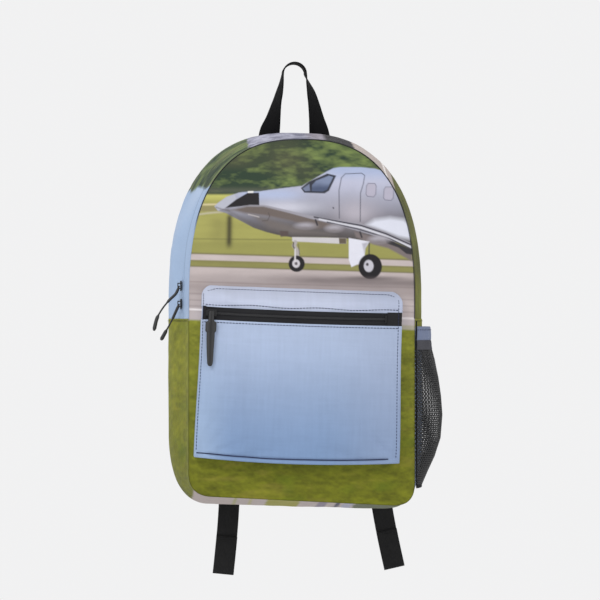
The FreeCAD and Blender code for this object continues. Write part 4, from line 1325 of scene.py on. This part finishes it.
def add_strap(name):
    """Padded strap with its webbing, ladder-lock loop, tail and lower webbing."""
    side, foot_x, end_x, end_z = STRAPS[name]
    body = "strap_" + name
    path = strap_line(side, foot_x, 0.0)
    pad = sweep("strap_pad_" + name, path, (1, 0, 0), strip_profile(55.0, 8.6, 1.4, 16), body)
    dress(pad, BLACK)
    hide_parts(*["strap_%s_%s" % (part, name) for part in ("foam", "cover", "lining")])
    across, out = frames(path, np.broadcast_to(np.array([1.0, 0, 0]), path.shape))
    for way in (-1, 1):
        rim = path + across * way * 27.6
        piece = sweep("strap_edge_%s_%d" % (name, way + 1), rim, out, strip_profile(7.0, 2.6, 0.5, 5), body)
        dress(piece, BINDING)
        face = path + across * way * 23.2 + np.array([0, 5.0, 0])
        piece = stitches("strap_stitch_%s_%d" % (name, way + 1), face, (0, 1, 0), body)
        dress(piece, DARK_THREAD)
    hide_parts("strap_binding_" + name)

    # Webbing down the middle of the pad and the loop that holds the ladder lock.
    down = strap_line(side, foot_x, 6.9)
    loop = [(foot_x, down[-1][1] - 0.4, -432), (foot_x, 25.4, -436.5)]
    turn = np.radians([-20, -60, -90, -120, -160])
    loop += [(foot_x, LOCK_Y + 3.1 * math.cos(a), LOCK_Z + 12 + 3.1 * math.sin(a)) for a in turn]
    loop += [(foot_x, 17.4, -430), (foot_x, 17.2, -427)]
    route = np.concatenate([down, smooth_path(loop, 4)])
    piece = sweep("strap_tape_" + name, route, (1, 0, 0), strip_profile(25.0, 1.5, 0.1), body)
    dress(piece, WEBBING)
    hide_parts("strap_webbing_" + name)

    # Tail: through the ladder lock, down, and a hem folded back and sewn at its end.
    lean = (end_x - foot_x) / (end_z - LOCK_Z)
    turn = np.radians([175, 140, 100, 60, 25])
    pts = [(foot_x, LOCK_Y + 3.8 * math.cos(a), LOCK_Z + 3.8 * math.sin(a)) for a in turn]
    for z in (-462, -490, -520, -550, -580, end_z):
        pts.append(tail_point(name, z))
    tail = smooth_path(pts, 7)
    wide = np.array([1.0, 0, lean])
    piece = dress(
        sweep("tail_strap_" + name, tail, wide, strip_profile(25.0, 1.6, 0.1), "tail_body_" + name),
        WEBBING,
    )
    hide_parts("tail_" + name)
    top = end_z + 46
    hem = smooth_path(
        [tail_point(name, z) + np.array([0, -1.75, 0]) for z in np.linspace(top, end_z + 0.4, 6)], 4
    )
    piece = sweep("tail_hem_" + name, hem, wide, strip_profile(25.4, 1.6, 0.1), "tail_body_" + name)
    dress(piece, WEBBING)
    for at in (top - 2.0, top - 5.0):
        centre = tail_point(name, at) + np.array([0, -2.9, 0])
        rowline = centre + np.linspace(-11, 11, 20)[:, None] * unit(wide)
        tag = "tail_stitch_%s_%d" % (name, round(top - at))
        piece = stitches(tag, rowline, (0, -1, 0), "tail_body_" + name, 1.8, 0.7, 0.3)
        dress(piece, DARK_THREAD)

    # Lower webbing from the corner tab to the ladder lock, drawn through it as the strap swings out.
    low, high = np.array([side * 118.0, 12.5, -496.0]), np.array([foot_x, 16.6, -464.0])
    pts = [low + (high - low) * t + np.array([0, 3 * math.sin(math.pi * t), 0]) for t in np.linspace(0, 1, 5)]
    pts.append(np.array([foot_x, 17.2, -452.0]))
    route = smooth_path(pts, 6)
    ahead = np.gradient(route, axis=0)
    across = unit(np.stack([-ahead[:, 2], 0 * ahead[:, 0], ahead[:, 0]], -1))
    piece = sweep("lower_strap_" + name, route, across, strip_profile(25.0, 1.6, 0.1), None)
    dress(piece, WEBBING)
    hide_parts("adjuster_webbing_" + name)
    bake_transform(piece)


# ---------------------------------------------------------------- net pocket


def net_surface(v, z):
    """Net point: v from -1 at the front edge to 1 at the back edge, with a belly and gathers."""
    heights = [306, 338, 354, 375, 397, 419, 446, 466, 484, 500]
    belly = np.interp(-z, heights, [153.5, 154.5, 160.0, 164.8, 168.0, 169.6, 167.4, 160.8, 151.3, 143.4])
    back = np.interp(-z, [446, 466, 484, 500], [148.2, 147.3, 144.9, 140.9])
    y = -62.8 + 53.8 * v
    edge = np.where(v < 0, 133.4, back)
    x = edge + (belly - edge) * (1 - np.abs(v) ** np.where(v < 0, 3.2, 2.2))
    fold = 3.4 * hump((v + 0.32) / 0.09) * ease((-342 - z) / 30) * ease((z + 500) / 40)
    gather = 0.7 * np.sin(v * 26) * hump((z + 338) / 22)
    return np.stack([x - fold + gather, y, z], -1)


# The net's holes and its yarn.
NET_CELL = 3.2
YARN_WIDE = 0.72
YARN_THICK = 0.30


def net_lattice():
    """Knots of a sheet of six-sided holes, and the pairs of knots that a yarn joins."""
    knots, yarns = {}, set()
    for i in range(int(163 / (NET_CELL * 0.75))):
        for j in range(int(118 / (NET_CELL * 0.87))):
            z = i * NET_CELL * 0.75
            v = (j + 0.5 * (i % 2)) * NET_CELL * 0.866
            ring = []
            for k in range(6):
                turn = k * math.pi / 3
                across, up = NET_CELL / 2 * math.sin(turn), NET_CELL / 2 * math.cos(turn)
                ring.append(knots.setdefault((round(v + across, 3), round(z + up, 3)), len(knots)))
            yarns |= {tuple(sorted((ring[k], ring[k - 1]))) for k in range(6)}
    return np.array(list(knots)), sorted(yarns)


def add_net():
    """Knitted net: a lattice of six-sided holes, each side a flat yarn."""
    flat, yarns = net_lattice()
    v = flat[:, 0] / flat[:, 0].max() * 1.98 - 0.99
    z = -341.0 - flat[:, 1] / flat[:, 1].max() * 159.0
    pts = net_surface(v, z)
    verts, faces = [], []
    centre = np.array([120.0, -60.0, -420.0])
    for a, b in yarns:
        p, q = pts[a], pts[b]
        if np.linalg.norm(q - p) < 0.2:
            continue
        ahead = unit(q - p)
        out = unit(((p + q) / 2 - centre) * [1, 1, 0])
        side, out = unit(np.cross(ahead, out)) * YARN_WIDE, out * YARN_THICK
        base = len(verts)
        for end in (p - ahead * 0.12, q + ahead * 0.12):
            verts += [end - side, end + out, end + side, end - out]
        for k in range(4):
            n = (k + 1) % 4
            faces.append((base + k, base + n, base + n + 4, base + k + 4))
    net = dress(finish_mesh("bottle_pocket_net", verts, faces, "shell"), NET)
    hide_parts("bottle_net")
    add_net_edges()


def add_net_edges():
    """Cloth band and elastic at the net's mouth, and the tape round its other edges."""
    for name, z0, z1, node, material, slot in (
        ("bottle_pocket_band", -315.0, -331.0, "bottle_band", POCKET, "pocket_cloth"),
        ("bottle_pocket_elastic", -331.0, -342.0, "bottle_elastic", ELASTIC, "elastic"),
    ):
        v, z = np.meshgrid(np.linspace(-1, 1, 110), np.linspace(z0, z1, 14), indexing="ij")
        outer = net_surface(v, z)
        bulge = 0.7 * np.sin(np.pi * (z - z0) / (z1 - z0)) ** 0.5
        outer[..., 0] += 0.5 + bulge
        inner = outer.copy()
        inner[..., 0] -= 1.4 + bulge
        loop = np.concatenate([outer, inner[:, ::-1]], 1)
        loop = np.concatenate([loop, loop[:, :1]], 1)
        spots = ease(clouds(loop[..., 1], loop[..., 2], 12, 141, 2))
        colours = lay(srgb(110, 120, 146) + 0 * loop[..., :1], (92, 100, 126), 0.4 * spots)
        uvs = np.stack([loop[..., 2] * MM, loop[..., 1] * MM], -1)
        piece = dress(grid(name, loop, "shell", colours, uvs=uvs), material)
        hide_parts(node)
    v = np.linspace(-1, 1, 90)
    row = net_surface(v, np.full(90, -319.0))
    row[:, 0] += 1.4
    dress(stitches("band_stitch", row, (1, 0, 0), "shell"), THREAD)
    for way, tag in ((-1, "front"), (1, "back")):
        z = np.linspace(-309, -500.5, 60)
        path = net_surface(np.full(60, float(way)), z)
        tape = sweep("net_edge_" + tag, path, (0, 1, 0), strip_profile(3.2, 1.0, 0.2, 5), "shell")
        dress(tape, BINDING)
    v = np.linspace(-1, 1, 60)
    path = net_surface(v, np.full(60, -500.0))
    tape = sweep("net_edge_foot", path, (0, 0, 1), strip_profile(5.0, 1.2, 0.2, 5), "shell")
    dress(tape, BINDING)


# ---------------------------------------------------------------- back


def add_back():
    """Padded back panel in air mesh, with sewn channels."""
    left, right, top, low_left, low_right, wide, high = section(0.0)
    count = 130
    rows = []
    for t in np.linspace(0, 1, 180):
        z = top - 0.15 - t * (top - low_left + 3)
        if z > ARCH_FOOT:
            up = (z - ARCH_FOOT) / (top - ARCH_FOOT)
            reach = (right - left) / 2 * (1 - min(1, up) ** ARCH_POWER) ** (1 / ARCH_POWER)
            x0, x1 = (left + right) / 2 - reach, (left + right) / 2 + reach
        else:
            drop = np.clip((np.array([low_left, low_right]) + high - z) / high, 0, 1)
            inset = wide * (1 - np.sqrt(1 - drop)) ** 2
            x0, x1 = left + inset[0], right - inset[1]
        rows.append(np.stack([np.linspace(x0, x1, count), np.full(count, z)], -1))
    xz = np.array(rows)
    x, z = xz[..., 0], xz[..., 1]
    s = np.broadcast_to(np.linspace(-1, 1, count), x.shape)
    t = np.broadcast_to(np.linspace(0, 1, len(rows))[:, None], x.shape)
    edge = np.minimum(ease((1 - np.abs(s)) / 0.07), ease(np.minimum(t, 1 - t) / 0.05))
    channel = np.ones_like(x)
    for cx in (-52.0, 52.0):
        channel = channel * (1 - 0.85 * hump((x - cx) / 3.0) * ease((z + 470) / 12) * ease((-150 - z) / 12))
    for cz in (-205.0, -335.0):
        channel = channel * (1 - 0.85 * hump((z - cz) / 3.0) * ease((58 - np.abs(x)) / 8))
    y = 0.4 + 7.4 * edge**0.5 + 0.9 * (channel - 1) * edge + 0.4 * clouds(x, z, 45, 151, 2) * edge
    points = np.stack([x, y, z], -1)
    back = dress(grid("back_pad", points, "shell"), AIR_MESH)
    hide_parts("back_panel", "back_foam")


def main():
    """Materials for the parts that stay, then every drawn piece."""
    repaint(["lining", "flap_lining", "back_lining", "sleeve_gusset"], LINING)
    repaint(["laptop_sleeve"], SLEEVE_MESH)
    repaint(["front_seam_binding", "flap_seam_binding", "back_seam_binding", "sleeve_binding"], BINDING)
    repaint(["zip_tape_flap", "zip_tape_body"], TAPE)
    repaint(["zip_coil_flap", "zip_coil_body"], COIL)
    repaint(["zip_end_stops", "upper_slider", "lower_slider", "pocket_slider"], ENAMEL)
    repaint(["ladder_lock_left", "ladder_lock_right"], ACETAL)
    repaint(["handle_ends"], WEBBING)
    repaint(["strap_patch", "corner_tabs"], BLACK_TRIM)
    add_front()
    add_gussets()
    add_pocket()
    add_pulls()
    add_pocket_pull()
    add_handle()
    for name in STRAPS:
        add_strap(name)
    add_net()
    add_back()
    light()


# ---------------------------------------------------------------- light and camera


def area_light(name, where, size, watts, target=(0, -0.06, -0.3)):
    data = bpy.data.lights.new(name, "AREA")
    data.energy, data.size = watts, size
    lamp = bpy.data.objects.new(name, data)
    lamp.location = where
    lamp.rotation_euler = (Vector(target) - Vector(where)).to_track_quat("-Z", "Y").to_euler()
    bpy.context.scene.collection.objects.link(lamp)


# Camera: lens in millimetres, distance and target in metres, angles in degrees.
LENS = 153.0
CAMERA_FAR = 3.0
CAMERA_TURN = -4.5
CAMERA_RISE = -0.5
CAMERA_TARGET = (0.0024, -0.060, -0.284)

# Round floor, in metres.
FLOOR_RADIUS = 5.5
FLOOR_Z = -1.5


def light():
    """Even light of a studio with a weak key lamp, a pale floor, and the camera."""
    scene = bpy.context.scene
    world = bpy.data.worlds.new("studio")
    scene.world = world
    world.use_nodes = True
    world.node_tree.nodes["Background"].inputs[0].default_value = (0.90, 0.90, 0.905, 1)
    world.node_tree.nodes["Background"].inputs[1].default_value = 0.98
    area_light("key", (-0.9, -1.7, 0.8), 0.8, 14)
    area_light("fill", (1.4, -1.3, 0.1), 1.4, 4)
    mesh = bpy.data.meshes.new("floor")
    rim = [(x, y, FLOOR_Z) for x, y in ring_profile(FLOOR_RADIUS, 72)]
    mesh.from_pydata(rim, [], [tuple(range(72))])
    floor = bpy.data.objects.new("floor", mesh)
    scene.collection.objects.link(floor)
    pale = Nodes("floor_paint")
    pale.colour_of((0.86, 0.86, 0.86), 0.01, 3.0)
    pale.set(Roughness=0.9, Emission_Color=(1, 1, 1, 1), Emission_Strength=0.06)
    mesh.materials.append(pale.material)

    data = bpy.data.cameras.new("camera")
    data.sensor_width, data.lens = 36.0, LENS
    data.clip_end = 50
    camera = bpy.data.objects.new("camera", data)
    scene.collection.objects.link(camera)
    turn, rise = math.radians(CAMERA_TURN), math.radians(CAMERA_RISE)
    back = Vector((math.sin(turn) * math.cos(rise), -math.cos(turn) * math.cos(rise), math.sin(rise)))
    camera.location = Vector(CAMERA_TARGET) + back * CAMERA_FAR
    camera.rotation_euler = (-back).to_track_quat("-Z", "Y").to_euler()
    scene.camera = camera
    scene.view_settings.view_transform = "Standard"


main()
